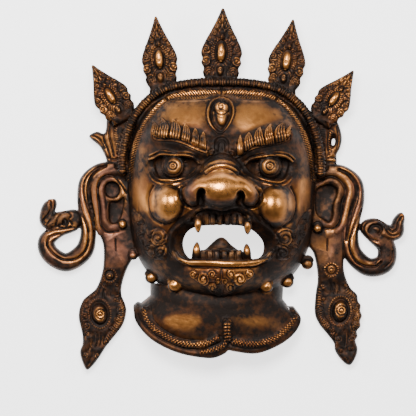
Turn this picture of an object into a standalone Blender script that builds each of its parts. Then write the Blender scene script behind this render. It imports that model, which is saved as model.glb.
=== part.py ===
"""Bhairava wall mask, one hollow bronze casting, lying face up on its flat back rim.

The face looks along +Z, the crown points along +Y, and the origin is under the middle of the
mask on its back plane. The carving is laid out in plan, in millimetres of the real mask, and
scaled with MASK_HEIGHT. Heights, walls and rod sizes are named values of their own, in metres.
Every form is added to one body of clay, and that body is then fused, thinned to a modest
number of faces and cut flat behind.
"""

import math

import bmesh
import bpy
import numpy as np
from mathutils import Matrix, Vector

# Overall size
MASK_HEIGHT = 0.270
PLAN_UNIT = MASK_HEIGHT / 270

# Head shell
SHELL_WALL = 0.0040
DOME_RISE = 0.056
DOME_EDGE_POWER = 3.2
DOME_FRONT_POWER = 2.2
RIM_BELOW_CUT = 0.004
DOME_SEGMENTS = 150
DOME_RINGS = 84
STEEP_SHARE = 0.35
BULGE_FALL = 0.6

# Forms of the face, heights above the plain dome
NOSE_RISE = 0.030
NOSE_SHOULDER_RISE = 0.024
NOSE_WING_RISE = 0.021
NOSE_BRIDGE_RISE = 0.018
NOSTRIL_DEPTH = 0.016
BROW_RISE = 0.0065
SOCKET_DEPTH = 0.0070
EYEBALL_RISE = 0.0100
CHEEK_RISE = 0.0135
MUZZLE_RISE = 0.0085
MOUTH_FUNNEL_DEPTH = 0.0095
CHIN_RISE = 0.0095
NOSE_BLEND = 0.0050
FORM_BLEND = 0.0026
LEAST_KNOB_HEIGHT = 0.012

# Neck and collar
NECK_RISE = 0.031
COLLAR_RISE = 0.027
COLLAR_BRAID_RADIUS = 0.0026
NECK_BELLY = 0.004

# Crown
CROWN_BAND_RADIUS = 0.0034
CROWN_BAND_HEIGHT = 0.021
LEAF_BACK = 0.0105
LEAF_THICKNESS = 0.0052
LEAF_LEAN = 0.10
LEAF_GEM_RISE = 0.0034

# Ears, pendants and ribbons
EAR_BACK = 0.0035
EAR_THICKNESS = 0.0085
EAR_ROLL_RADIUS = 0.0030
EAR_HOLLOW_DEPTH = 0.0045
PENDANT_THICKNESS = 0.0065
PENDANT_BOSS_RISE = 0.0060
RIBBON_BACK = 0.0030
RIBBON_THICKNESS = 0.0080
RIBBON_FLUTE = 0.0016
BOW_BACK = 0.0045
BOW_THICKNESS = 0.0065

# Applied details
LID_RADIUS = 0.0017
LOCK_HALF_WIDTH = 0.0032
LOCK_RISE = 0.0030
LIP_RADIUS = 0.0026
FRAME_RADIUS = 0.0016
SCROLL_RADIUS = 0.0017
FRINGE_RADIUS = 0.0017
KNOB_RADIUS = 0.0052
FANG_RADIUS = 0.0029
TOOTH_RADIUS = 0.0021
TOOTH_ROOT_RADIUS = 0.0031
GUM_DEPTH = 0.002
LOWER_GUM_DEPTH = 0.003
TONGUE_DROP = 0.008
TONGUE_RISE = 0.006

# Fusing
FUSE_VOXEL = 0.00115
PLATE_CELL = 0.0015
CURVE_STEP = 0.0015
TRIANGLE_BUDGET = 9500
FLOOR_CUTTER_HALF = 0.170
FLOOR_CUTTER_DEPTH = 0.050

# Plan of the head: the right half of its outer edge, crown to chin
HEAD_MIDDLE = (0, -2)
HEAD_EDGE = [(0, 80.5), (28, 79), (47, 72), (61.5, 58), (69, 39), (71.5, 18), (70, -5),
             (68.5, -28), (64, -47), (54.5, -63), (40, -75.5), (20, -83), (0, -85)]

# Plan of the face, right half
BROW_LINE = [(11, 31), (20, 33), (30, 38), (41, 41.5), (51, 43)]
EYE_MIDDLE = (36, 17.5)
EYE_RADIUS = 9.4
SOCKET_MIDDLE = (35, 16)
SOCKET_HALF = (22, 12.5)
CHEEK_MIDDLE = (41.5, -11.5)
CHEEK_HALF = (13.8, 15)
CHEEK_TURN = 0.25
NOSE_MIDDLE = (0, 2)
NOSE_HALF = (15.5, 12.5)
SHOULDER_MIDDLE = (12.5, 3.5)
SHOULDER_HALF = (14.5, 7.5)
SHOULDER_TURN = -0.42
WING_MIDDLE = (21.3, -3.8)
WING_HALF = (7.2, 8.6)
BRIDGE_MIDDLE = (0, 11)
BRIDGE_HALF = (15, 15)
NOSTRIL_LINE = [(14.8, 0.2), (15.4, -3.5), (13.6, -8)]
NOSTRIL_WIDTH = 4.3
CORE_NOSE_MIDDLE = (0, 7)
CORE_NOSE_HALF = (15, 10.5)
BROW_REACH = 11
FUNNEL_REACH = 9
BAND_REACH = 9
TEMPLE_FOOT = 10
MUZZLE_MIDDLE = (0, -16)
MUZZLE_HALF = (33, 15)
CHIN_MIDDLE = (0, -68)
CHIN_HALF = (38, 15)
UPPER_LID = [(17, 17.5), (20, 22.5), (27, 26), (36, 27.6), (45, 27), (53, 22.5)]
LOWER_LID = [(17, 17), (22, 11.5), (30, 8), (40, 6.6), (49, 9), (53.5, 15)]
UNDER_LID = [(24, 7), (32, 3.8), (42, 3), (51, 6.5), (55, 12)]
BROW_BASE = [(12, 28.5), (20, 31.5), (30, 35), (41, 37.5), (50, 40)]
BROW_LOCKS = [((12.5, 31), (12, 41)), ((17, 32.5), (16, 44)), ((22.5, 34.5), (22, 47)),
              ((28.5, 36.5), (28, 49.5)), ((34.5, 38.5), (35.5, 51.5)),
              ((40.5, 40), (43, 52)), ((46.5, 41), (50.5, 50.5))]

# Plan of the mouth, whole, a little right of the middle line
LIP_LINE = [(-38, -41), (-36, -31), (-27, -23), (-17, -14.5), (-8, -12.5), (0, -14.5),
            (9, -12.5), (18, -15), (28, -24), (38, -32), (40.5, -41), (37, -50),
            (27, -55), (10, -55.5), (-8, -55.5), (-25, -54.5), (-34.5, -50)]
MOUTH_HOLE = [(-28.5, -41), (-26, -33), (-20, -28), (-8, -26), (10, -26), (21, -29),
              (29, -36), (31.3, -43), (29, -50), (20, -52), (-18, -52), (-26, -49)]
UPPER_FANGS = [((-17.5, -21), (-18, -32.5)), ((18.5, -22), (19, -33))]
LOWER_FANGS = [((-19.5, -52), (-18, -39.5)), ((19.5, -52), (18.5, -40.5))]
UPPER_TEETH = (7, -13.5, 13.5, -23.5)
LOWER_TEETH = (6, -12, 12, -48.5)
TONGUE = [(-15, -49), (-8, -43), (0, -36.5), (8, -43), (15, -49)]

# Plan of the scrolls and curls
THIRD_EYE_FRAME = [(0, 69.5), (-6.5, 66), (-9.8, 59), (-7.5, 50), (0, 43), (7.5, 50),
                   (9.3, 59), (6.5, 66)]
THIRD_EYE_BALL = (0, 61.2)
THIRD_EYE_PEG = (0, 52.8)
OMEGA_LINE = [(-8.5, 27), (-6, 30), (-5.5, 36), (0, 40), (5.5, 36), (6, 30), (8.5, 27)]
NOSE_WRINKLES = [[(-12.5, 12), (-7.5, 16), (0, 17.8), (7.5, 16), (12.5, 12)],
                 [(-15, 14), (-9, 19.5), (0, 21.8), (9, 19.5), (15, 14)]]
WHISKER_LINE = [(65, -15), (62, -25), (59, -35), (53, -44), (44, -52), (33, -57.5)]
WHISKER_WIDTH = 2.2
WHISKER_SPIRALS = [((45, -36), 5.2), ((45, -46), 3.8), ((59, -35), 4.0), ((53, -43), 3.0)]
BEARD_SPIRALS = [((21, -62), 3.4), ((13.5, -65), 4.4), ((6.5, -70), 3.8), ((4, -76), 2.8)]
BEARD_LEAF_MIDDLE = (0, -68)
BEARD_LEAF_HALF = (2.4, 9.0)
KNOBS_RIGHT = [(33, -73), (48.5, -69.5), (63.5, -55), (71.5, -28)]
KNOBS_LEFT = [(-35, -72), (-52, -65), (-66.5, -48.5), (-73.5, -27)]
FRINGE_LINE = [(0.5, 72), (14, 71), (28, 70), (40, 68), (50, 61), (58, 49.5), (63, 37),
               (67.5, 22), (69, 8)]

# Plan of the crown
BAND_LINE = [(-74, 14), (-73.5, 27), (-70.5, 41), (-65, 54), (-57, 64.5), (-46, 73), (-33, 77.5),
             (-17, 79.8), (0, 80.2), (17, 79.6), (33, 77.3), (46, 72.8), (57, 64.5), (65, 54),
             (70.5, 41), (73.5, 27), (74, 12)]
LEAVES = [((-73.5, 54.5), (-96.5, 92.7), 1.0), ((-44.5, 76.5), (-49.2, 129.2), 0.91),
          ((-0.6, 81), (1.1, 135.2), 1.0), ((46, 75.5), (53.5, 126.8), 0.95),
          ((74.3, 53), (98.5, 88.6), 1.0)]
LEAF_LENGTH = 54
LEAF_HALF_WIDTHS = [(-0.07, 9.5), (0.0, 10.5), (0.06, 12.6), (0.12, 13.6), (0.175, 12.9),
                    (0.25, 15.0), (0.31, 14.2), (0.38, 15.4), (0.46, 14.6), (0.56, 12.2),
                    (0.68, 8.8), (0.8, 5.6), (0.91, 2.9), (1.0, 0.9)]
LEAF_GEMS = [((0, 22), (3.3, 7.6), 1.0), ((0, 8), (3.0, 4.0), 1.0), ((0, 33.5), (2.0, 2.6), 0.8)]
LEAF_CURLS = [((7.5, 4.5), (3.6, 4.6)), ((11.3, 13.5), (3.0, 3.2)), ((8.6, 26), (2.2, 4.2))]
LEAF_CURL_SHARE = 0.75
LEAF_CURL_TURN = 0.25
LEAF_EDGE_SHARE = 0.45
LEAF_EDGE = 0.0020
LEAF_ROLL_RISE = 0.0012
LEAF_ROLL_WIDTH = 0.0016

# Plan of the ears with their pendants, outer outline of each
EAR_LEFT = [(-64, 12), (-80, 16), (-92, 12), (-98, 2), (-98, -10), (-94, -22), (-92, -32),
            (-89, -42), (-89, -56), (-91, -64), (-94, -73), (-99, -77), (-104, -82),
            (-107, -91), (-107, -100), (-104.5, -108), (-103, -114), (-106, -121),
            (-104, -129), (-100.5, -135), (-96, -131.5), (-91.5, -124), (-86, -117),
            (-79, -109), (-73.5, -102), (-71, -93), (-72, -85), (-75, -78), (-74, -69),
            (-71, -60), (-66, -50), (-62, -35)]
EAR_RIGHT = [(64, 12), (80, 15), (91, 12), (96, 4), (96.5, -8), (93.5, -20), (92, -34),
             (92, -46), (91.5, -58), (94, -67), (97, -73), (102.5, -79), (104.5, -84),
             (105, -92), (104.5, -100), (102, -107), (100.5, -111), (102.3, -117),
             (100.5, -125), (96.5, -131.5), (91.5, -129.5), (86.5, -123), (84.5, -115),
             (78, -107), (72, -99), (69.5, -90), (70.5, -78), (72.5, -68), (72, -60),
             (69.5, -50), (64, -35)]
HELIX_LEFT = [(-70.5, 4), (-76, 11), (-83, 12.5), (-91, 8.5), (-94.5, 0), (-93, -9), (-90.5, -18),
              (-90, -26), (-85, -31), (-77.5, -30), (-71, -25)]
ANTIHELIX_LEFT = [(-72, -4), (-77, 5), (-83, 7.5), (-88.5, 2.5), (-88, -6), (-86, -13),
                  (-85.5, -21), (-81.5, -25.5), (-75.5, -22.5)]
PENDANT_BOSSES = [((-90.5, -93), 0.12), ((88.7, -90), -0.15)]
BOSS_HALF = (5.6, 7.8)
HALO_HALF = (9.6, 12)
RAY_COUNT = 14
RAY_REACH = (11.2, 14.5)
RAY_STRETCH = 1.25
PENDANT_BEADS = [((-84, -64.5), 3.2), ((83, -60), 3.6)]
CHEVRONS = (-71, -112, -118, -124)
CHEVRON_HALF = (3.0, 2.5)
PENDANT_TOP = -58
PENDANT_BLEND = 14
EAR_HOLLOW_MIDDLE = (81, -6)
EAR_HOLLOW_HALF = (9, 20)

# Plan of the ribbons: centre line, half width and lift in the order that the cloth runs
RIBBON_LEFT = [((-80, 17), 4.5, 1.0), ((-92, 15), 4.5, 1.5), ((-101, 6), 5.5, 1.5),
               ((-102.5, -8), 5.6, 1.5), ((-100.5, -21), 5.8, 1.5), ((-98.5, -34), 6.4, 1.5),
               ((-103, -47), 7.0, 1.0), ((-116, -54.5), 7.0, 0.5), ((-128, -48.5), 7.0, 0.5),
               ((-131, -38.5), 6.2, 0.5), ((-122, -31), 5.0, 1.5), ((-110, -26), 5.2, 2.5),
               ((-108, -19.5), 5.0, 2.5), ((-117, -20), 5.2, 2.5), ((-128, -23.5), 5.5, 1.5),
               ((-131.5, -16), 4.4, 1.0), ((-128.3, -8.5), 2.6, 0.5)]
RIBBON_RIGHT = [((80, 15), 4.5, 1.0), ((91, 13.5), 4.5, 1.5), ((100, 5), 5.6, 1.5),
                ((101.5, -8), 5.6, 1.5), ((98.5, -21), 5.8, 1.5), ((96, -34), 6.6, 1.5),
                ((98.5, -48), 7.0, 1.0), ((110, -58), 7.0, 0.5), ((122, -55), 7.4, 0.5),
                ((123.5, -43), 7.0, 0.5), ((114, -34), 5.8, 1.5), ((108, -28), 5.4, 2.5),
                ((115, -26.5), 5.4, 2.5), ((123, -31.5), 5.6, 2.0), ((130.5, -32.5), 5.6, 1.5),
                ((133, -24.5), 4.2, 1.0), ((136, -18.2), 2.3, 0.5)]

# Plan of the bows at the ends of the crown
BOW_LEFT = [(-66, 58), (-76, 58), (-85, 54), (-86.5, 46), (-88, 42), (-93, 43.5), (-97.5, 41.5),
            (-98.6, 39.5), (-96, 36.5), (-91, 32), (-87, 25), (-85.5, 21), (-80, 16),
            (-66, 14)]
BOW_RIGHT = [(66, 56), (76, 56), (85.5, 52), (88.8, 46), (90.2, 38), (88.8, 31), (86.2, 26),
             (86.2, 20), (82, 15), (66, 13)]

# Plan of the neck and collar: chin end and lower edge of the skin, left to right
NECK_TOP = [(-53.5, -70), (-40, -72), (-20, -74), (-4, -74.5), (12, -74), (32, -73), (46.5, -72)]
NECK_WAIST = [(-53.5, -79), (-41, -84), (-22, -88), (-4, -89), (14, -88), (34, -85), (46, -82)]
NECK_EDGE = [(-62.5, -86.5), (-62, -97), (-51, -110), (-32, -119.5), (-10, -123.5), (0, -121),
             (4.5, -117.5), (10, -118.5), (26, -120), (42, -114), (52.5, -106), (57, -97.5),
             (54, -92.5)]
COLLAR_LEFT = [(-58.5, -88), (-57, -97), (-47, -107.5), (-30, -115.5), (-12, -118.5), (0, -116)]
COLLAR_RIGHT = [(8, -113.5), (22, -115.5), (38, -111.5), (48, -104), (53.5, -96)]
STRAP_LINE = [(4.5, -98), (4, -107), (4.5, -116)]


def plan(points):
    """Plan points in metres, from millimetres of the real mask."""
    return PLAN_UNIT * np.array(points, float)


def mirrored(points):
    """The same plan points on the left of the middle line."""
    return [(-x, y) for x, y in points]


def smooth_line(points, step=CURVE_STEP, closed=False):
    """A smooth line through the points, with a row about every step."""
    p = np.array(points, float)
    count = len(p)
    rows = []
    for i in range(count if closed else count - 1):
        before = p[i - 1] if closed else p[max(i - 1, 0)]
        here = p[i]
        there = p[(i + 1) % count]
        after = p[(i + 2) % count] if closed else p[min(i + 2, count - 1)]
        cuts = max(1, round(np.linalg.norm((there - here)[:2]) / step))
        t = np.arange(cuts)[:, None] / cuts
        rows.append(here + 0.5 * t * (there - before)
                    + t**2 * (before - 2.5 * here + 2 * there - 0.5 * after)
                    + t**3 * (1.5 * here - 0.5 * before - 1.5 * there + 0.5 * after))
    if not closed:
        rows.append(p[-1:])
    return np.vstack(rows)


def distance_to(points, line, closed=False):
    """How far each plan point is from a line of points."""
    nearest = np.full(len(points), 1e9)
    for start, end in zip(line, np.roll(line, -1, axis=0) if closed else line[1:]):
        run = end - start
        share = np.clip((points - start) @ run / max(run @ run, 1e-12), 0, 1)
        nearest = np.minimum(nearest, np.hypot(*(points - start - share[:, None] * run).T))
    return nearest


def inside(points, outline):
    """Whether each plan point is inside a closed outline."""
    odd = np.zeros(len(points), bool)
    for start, end in zip(outline, np.roll(outline, -1, axis=0)):
        crosses = (start[1] > points[:, 1]) != (end[1] > points[:, 1])
        rise = end[1] - start[1]
        reach = start[0] + (points[:, 1] - start[1]) * (end[0] - start[0]) / (rise or 1e-12)
        odd ^= crosses & (points[:, 0] < reach)
    return odd


def swell(distance, width):
    """A round-topped ridge: 1 on the line, 0 at the width and beyond."""
    return 0.5 + 0.5 * np.cos(math.pi * np.clip(distance / width, 0, 1))


def spread(points, middle, half, turn=0.0):
    """How far plan points are from an ellipse's middle, squared, 1 on the ellipse."""
    offset = points - plan(middle)
    c, s = math.cos(turn), math.sin(turn)
    across = (offset[:, 0] * c + offset[:, 1] * s) / (half[0] * PLAN_UNIT)
    along = (offset[:, 1] * c - offset[:, 0] * s) / (half[1] * PLAN_UNIT)
    return across**2 + along**2


def cap(points, middle, half, turn=0.0):
    """The height of an ellipsoid's front, 1 at its middle and 0 outside it."""
    return np.sqrt(np.clip(1 - spread(points, middle, half, turn), 0, 1))


def bulge(points, middle, half, turn=0.0):
    """The same front, sinking below 0 outside it so that it blends only with what it touches."""
    beyond = np.clip(spread(points, middle, half, turn) - 1, 0, None)
    return cap(points, middle, half, turn) - BULGE_FALL * beyond


def hill(points, middle, half, turn=0.0):
    """A soft hill: 1 at its middle, falling smoothly to 0."""
    return cap(points, middle, half, turn) ** 2


def smooth_union(low, high, blend=FORM_BLEND):
    """The higher of two heights, rounded where they meet."""
    share = np.clip(0.5 + 0.5 * (high - low) / blend, 0, 1)
    return low + (high - low) * share + blend * share * (1 - share)


# Head


def head_edge():
    """The closed outer edge of the head in plan."""
    return smooth_line(plan(HEAD_EDGE + mirrored(HEAD_EDGE[-2:0:-1])), closed=True)


def edge_reach(angles):
    """How far the head's edge is from its middle at each angle."""
    offset = head_edge() - plan(HEAD_MIDDLE)
    turns = np.arctan2(offset[:, 1], offset[:, 0])
    order = np.argsort(turns)
    return np.interp(angles, turns[order], np.hypot(*offset.T)[order], period=2 * math.pi)


def dome_height(points):
    """Height of the plain dome over plan points, 0 outside the head."""
    offset = points - plan(HEAD_MIDDLE)
    share = np.hypot(*offset.T) / edge_reach(np.arctan2(offset[:, 1], offset[:, 0]))
    return DOME_RISE * np.clip(1 - share**DOME_EDGE_POWER, 0, 1) ** (1 / DOME_FRONT_POWER)


def soft_forms(points, base):
    """Rise of the soft forms that both the face and its hollow follow."""
    folded = np.column_stack([np.abs(points[:, 0]), points[:, 1]])
    brow = distance_to(folded, smooth_line(plan(BROW_LINE)))
    z = BROW_RISE * swell(brow, BROW_REACH * PLAN_UNIT)
    z += MUZZLE_RISE * hill(points, MUZZLE_MIDDLE, MUZZLE_HALF)
    z += CHIN_RISE * hill(points, CHIN_MIDDLE, CHIN_HALF) * np.clip(2 * base / DOME_RISE, 0, 1)
    return z - SOCKET_DEPTH * hill(folded, SOCKET_MIDDLE, SOCKET_HALF)


def mouth_funnel(points):
    """How far the skin dips inside the lips."""
    lips = smooth_line(plan(LIP_LINE), closed=True)
    dip = 1 - swell(distance_to(points, lips, closed=True), FUNNEL_REACH * PLAN_UNIT)
    return np.where(inside(points, lips), MOUTH_FUNNEL_DEPTH * dip, 0)


def nose_height(folded, base):
    """Height of the nose alone: the bridge, its shoulders, the wings and the tip in one swell."""
    nose = base + NOSE_BRIDGE_RISE * bulge(folded, BRIDGE_MIDDLE, BRIDGE_HALF)
    for rise, middle, half, turn in (
            (NOSE_SHOULDER_RISE, SHOULDER_MIDDLE, SHOULDER_HALF, SHOULDER_TURN),
            (NOSE_WING_RISE, WING_MIDDLE, WING_HALF, 0.0),
            (NOSE_RISE, NOSE_MIDDLE, NOSE_HALF, 0.0)):
        nose = smooth_union(nose, base + rise * bulge(folded, middle, half, turn), NOSE_BLEND)
    return nose


def face_height(points):
    """Height of the face over plan points: the dome with the big forms of the face on it."""
    folded = np.column_stack([np.abs(points[:, 0]), points[:, 1]])
    base = dome_height(points)
    z = base + soft_forms(points, base)
    fringe = distance_to(folded, smooth_line(plan(FRINGE_LINE)))
    band = distance_to(points, smooth_line(plan(BAND_LINE)))
    under_band = (fringe > band * 0.4) & (band < BAND_REACH * PLAN_UNIT)
    under_band &= points[:, 1] > TEMPLE_FOOT * PLAN_UNIT
    z = np.where(under_band, np.minimum(z, CROWN_BAND_HEIGHT), z)

    z -= mouth_funnel(points)
    cheek = base + CHEEK_RISE * bulge(folded, CHEEK_MIDDLE, CHEEK_HALF, CHEEK_TURN)
    z = smooth_union(z, cheek)
    eyeball = cap(folded, EYE_MIDDLE, (EYE_RADIUS,) * 2)
    z = np.where(eyeball > 0, np.maximum(z, base - SOCKET_DEPTH + EYEBALL_RISE * eyeball), z)
    plain = z
    z = smooth_union(z, nose_height(folded, base))
    nostril = distance_to(folded, smooth_line(plan(NOSTRIL_LINE)))
    cut = NOSTRIL_DEPTH * swell(nostril, NOSTRIL_WIDTH * PLAN_UNIT) ** 0.5
    return np.maximum(z - cut, np.minimum(z, plain))


def core_height(points):
    """Height of the hollow over plan points: the wall below the big forms only."""
    offset = points - plan(HEAD_MIDDLE)
    reach = edge_reach(np.arctan2(offset[:, 1], offset[:, 0])) - SHELL_WALL
    share = np.hypot(*offset.T) / reach
    rise = DOME_RISE - SHELL_WALL
    z = rise * np.clip(1 - share**DOME_EDGE_POWER, 0, 1) ** (1 / DOME_FRONT_POWER)
    folded = np.column_stack([np.abs(points[:, 0]), points[:, 1]])
    z += soft_forms(points, z)
    z += 0.66 * NOSE_RISE * hill(points, CORE_NOSE_MIDDLE, CORE_NOSE_HALF)
    z += 0.70 * CHEEK_RISE * hill(folded, CHEEK_MIDDLE, CHEEK_HALF, CHEEK_TURN)
    return z - mouth_funnel(points)


def dome_profile(rings):
    """Shares of the reach and of the rise, rim to front, evenly spaced along the dome."""
    turn = np.linspace(math.pi / 2, 0.02, 400)
    out = np.sin(turn) ** (2 / DOME_EDGE_POWER)
    up = np.cos(turn) ** (2 / DOME_FRONT_POWER)
    reach = edge_reach(np.array([0.0]))[0]
    run = np.concatenate([[0], np.cumsum(np.hypot(np.diff(out) * reach, np.diff(up) * DOME_RISE))])
    even = np.linspace(0, run[-1], rings)
    return np.interp(even, run, out), np.interp(even, run, up)


def add_head(clay):
    """The head: a closed shell with the face outside, its hollow inside and the mouth cut."""
    angles = np.arange(DOME_SEGMENTS) * 2 * math.pi / DOME_SEGMENTS
    spokes = np.column_stack([np.cos(angles), np.sin(angles)])
    reach = edge_reach(angles)[:, None]
    rings = []
    for shrink, height_at, count in ((0.0, face_height, DOME_RINGS),
                                     (SHELL_WALL, core_height, DOME_RINGS // 2)):
        skin = []
        for out, up in zip(*dome_profile(count)):
            places = plan(HEAD_MIDDLE) + spokes * (reach - shrink) * out
            plain = up * (DOME_RISE - shrink)
            heights = height_at(places) if up > STEEP_SHARE else np.full(len(places), plain)
            skin.append(np.column_stack([places, heights]))
        skin.insert(0, skin[0] - [0, 0, RIM_BELOW_CUT])
        rings += skin[::-1] if shrink == 0 else skin
    bm = bmesh.new()
    verts = [[bm.verts.new(point) for point in ring] for ring in rings]
    for one, two in zip(verts, verts[1:]):
        for i in range(DOME_SEGMENTS):
            bm.faces.new((one[i - 1], one[i], two[i], two[i - 1]))
    bm.faces.new(verts[0][::-1])
    bm.faces.new(verts[-1])
    bmesh.ops.recalc_face_normals(bm, faces=bm.faces)
    mesh = bpy.data.meshes.new("head_shell")
    bm.to_mesh(mesh)
    bm.free()
    shell = bpy.data.objects.new("head_shell", mesh)
    bpy.context.scene.collection.objects.link(shell)
    mouth = prism("mouth_cutter", smooth_line(plan(MOUTH_HOLE), closed=True), -DOME_RISE,
                  2 * DOME_RISE)
    cut = shell.modifiers.new("mouth", "BOOLEAN")
    cut.operation = "DIFFERENCE"
    cut.object = mouth
    pour(clay, shell)
    bpy.data.objects.remove(mouth)


def finish_shell(bm, name):
    """An open skin made an object, with the casting's wall behind it."""
    mesh = bpy.data.meshes.new(name)
    bm.to_mesh(mesh)
    bm.free()
    shell = bpy.data.objects.new(name, mesh)
    bpy.context.scene.collection.objects.link(shell)
    wall = shell.modifiers.new("wall", "SOLIDIFY")
    wall.thickness = SHELL_WALL
    wall.offset = -1
    return shell


def prism(name, outline, bottom, top):
    """A closed block with the outline's plan, for a cut."""
    bm = bmesh.new()
    base = bm.faces.new([bm.verts.new((x, y, bottom)) for x, y in outline])
    made = bmesh.ops.extrude_face_region(bm, geom=[base])["geom"]
    bmesh.ops.translate(bm, vec=(0, 0, top - bottom),
                        verts=[v for v in made if isinstance(v, bmesh.types.BMVert)])
    bmesh.ops.recalc_face_normals(bm, faces=bm.faces)
    mesh = bpy.data.meshes.new(name)
    bm.to_mesh(mesh)
    bm.free()
    block = bpy.data.objects.new(name, mesh)
    block.hide_render = True
    block.display_type = "WIRE"
    bpy.context.scene.collection.objects.link(block)
    return block


def pour(clay, shape):
    """Adds an object's finished mesh to the clay, and removes the object."""
    graph = bpy.context.evaluated_depsgraph_get()
    mesh = bpy.data.meshes.new_from_object(shape.evaluated_get(graph))
    clay.from_mesh(mesh)
    bpy.data.objects.remove(shape)


# Tools for applied forms


def ball_template(segments):
    """A unit ball's mesh, made once for each number of segments."""
    name = f"ball_{segments}"
    if name not in bpy.data.meshes:
        bm = bmesh.new()
        bmesh.ops.create_uvsphere(bm, u_segments=segments, v_segments=segments // 2 + 2,
                                  radius=1.0)
        bm.to_mesh(bpy.data.meshes.new(name))
        bm.free()
    return bpy.data.meshes[name]


def add_ball(clay, middle, radii, turn=0.0, segments=16):
    """An ellipsoid of clay."""
    ball = ball_template(segments).copy()
    ball.transform(Matrix.Translation(Vector(middle)) @ Matrix.Rotation(turn, 4, "Z")
                   @ Matrix.Diagonal((*radii, 1.0)))
    clay.from_mesh(ball)
    bpy.data.meshes.remove(ball)


def on_face(points, lift=0.0):
    """Plan points in metres raised to the face."""
    points = np.atleast_2d(points)
    return np.column_stack([points, face_height(points) + lift])


def stroke(rods, line, radius, taper=0.35, lift=0.0, height=None):
    """A rod of clay along a plan line, thinner at its ends."""
    places = on_face(line, lift) if height is None else np.column_stack(
        [line, np.broadcast_to(height, len(line))])
    share = np.linspace(0, 1, len(line))
    radii = radius * (taper + (1 - taper) * np.sin(math.pi * share) ** 0.5)
    rods.append((places, radii))


def spiral(middle, radius, hand=1, turns=1.35, start=0.0):
    """A plan line that winds in to the middle."""
    share = np.linspace(0, 1, 26)
    angle = start + hand * 2 * math.pi * turns * share
    reach = radius * (1 - 0.82 * share)
    return plan(middle) + PLAN_UNIT * np.column_stack([reach * np.cos(angle), reach * np.sin(angle)])


def add_rods(clay, rods):
    """All the rods as one curve of many splines, each point with its own radius."""
    curve = bpy.data.curves.new("rods", "CURVE")
    curve.dimensions = "3D"
    curve.bevel_depth = 1.0
    curve.bevel_resolution = 1
    curve.use_fill_caps = True
    for places, radii in rods:
        spline = curve.splines.new("POLY")
        spline.points.add(len(places) - 1)
        for point, place, radius in zip(spline.points, places, radii):
            point.co = (*place, 1.0)
            point.radius = radius
    rod_object = bpy.data.objects.new("rods", curve)
    bpy.context.scene.collection.objects.link(rod_object)
    mesh = bpy.data.meshes.new_from_object(
        rod_object.evaluated_get(bpy.context.evaluated_depsgraph_get()))
    bm = bmesh.new()
    bm.from_mesh(mesh)
    bmesh.ops.remove_doubles(bm, verts=bm.verts, dist=1e-6)
    bm.to_mesh(mesh)
    bm.free()
    clay.from_mesh(mesh)
    bpy.data.objects.remove(rod_object)


def add_plate(clay, outline, back, height_at):
    """A cast plate: a grid cut to the outline, its front raised by height_at(points, depth in)."""
    low, high = outline.min(axis=0), outline.max(axis=0)
    cells = np.maximum(4, np.ceil((high - low) / PLATE_CELL)).astype(int)
    bm = bmesh.new()
    middle = (low + high) / 2
    matrix = Matrix.Translation((*middle, 0)) @ Matrix.Diagonal((*(high - low) / 2, 1, 1))
    bmesh.ops.create_grid(bm, x_segments=int(cells[0]), y_segments=int(cells[1]), size=1.0,
                          matrix=matrix)
    points = np.array([v.co[:2] for v in bm.verts])
    outer = dict(zip(bm.verts, ~inside(points, outline)))
    bmesh.ops.delete(bm, geom=[f for f in bm.faces if all(outer[v] for v in f.verts)],
                     context="FACES")
    bm.verts.ensure_lookup_table()
    for vert in [v for v in bm.verts if outer[v]]:
        gap = outline - np.array(vert.co[:2])
        vert.co.xy = outline[np.argmin((gap**2).sum(axis=1))]
    bmesh.ops.remove_doubles(bm, verts=bm.verts, dist=1e-5)
    bmesh.ops.delete(bm, geom=[v for v in bm.verts if not v.link_faces], context="VERTS")
    front = list(bm.verts)
    made = bmesh.ops.extrude_face_region(bm, geom=list(bm.faces))["geom"]
    raised = [v for v in made if isinstance(v, bmesh.types.BMVert)]
    points = np.array([v.co[:2] for v in raised])
    heights = height_at(points, distance_to(points, outline, closed=True))
    for vert, height in zip(raised, heights):
        vert.co.z = height
    for vert in front:
        vert.co.z = back
    bmesh.ops.recalc_face_normals(bm, faces=bm.faces)
    mesh = bpy.data.meshes.new("plate")
    bm.to_mesh(mesh)
    bm.free()
    clay.from_mesh(mesh)


def rounded(depth_in, width):
    """The rise of a plate's rounded edge: 0 at the outline, 1 from the width inwards."""
    share = np.clip(depth_in / width, 0, 1)
    return np.sqrt(1 - (1 - share) ** 2)


# Crown


def leaf_frame(foot, tip):
    """The leaf's foot, its unit direction and its unit side, in plan metres, and its length."""
    foot, tip = plan(foot), plan(tip)
    along = (tip - foot) / np.linalg.norm(tip - foot)
    return foot, along, np.array([along[1], -along[0]]), np.linalg.norm(tip - foot)


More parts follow.
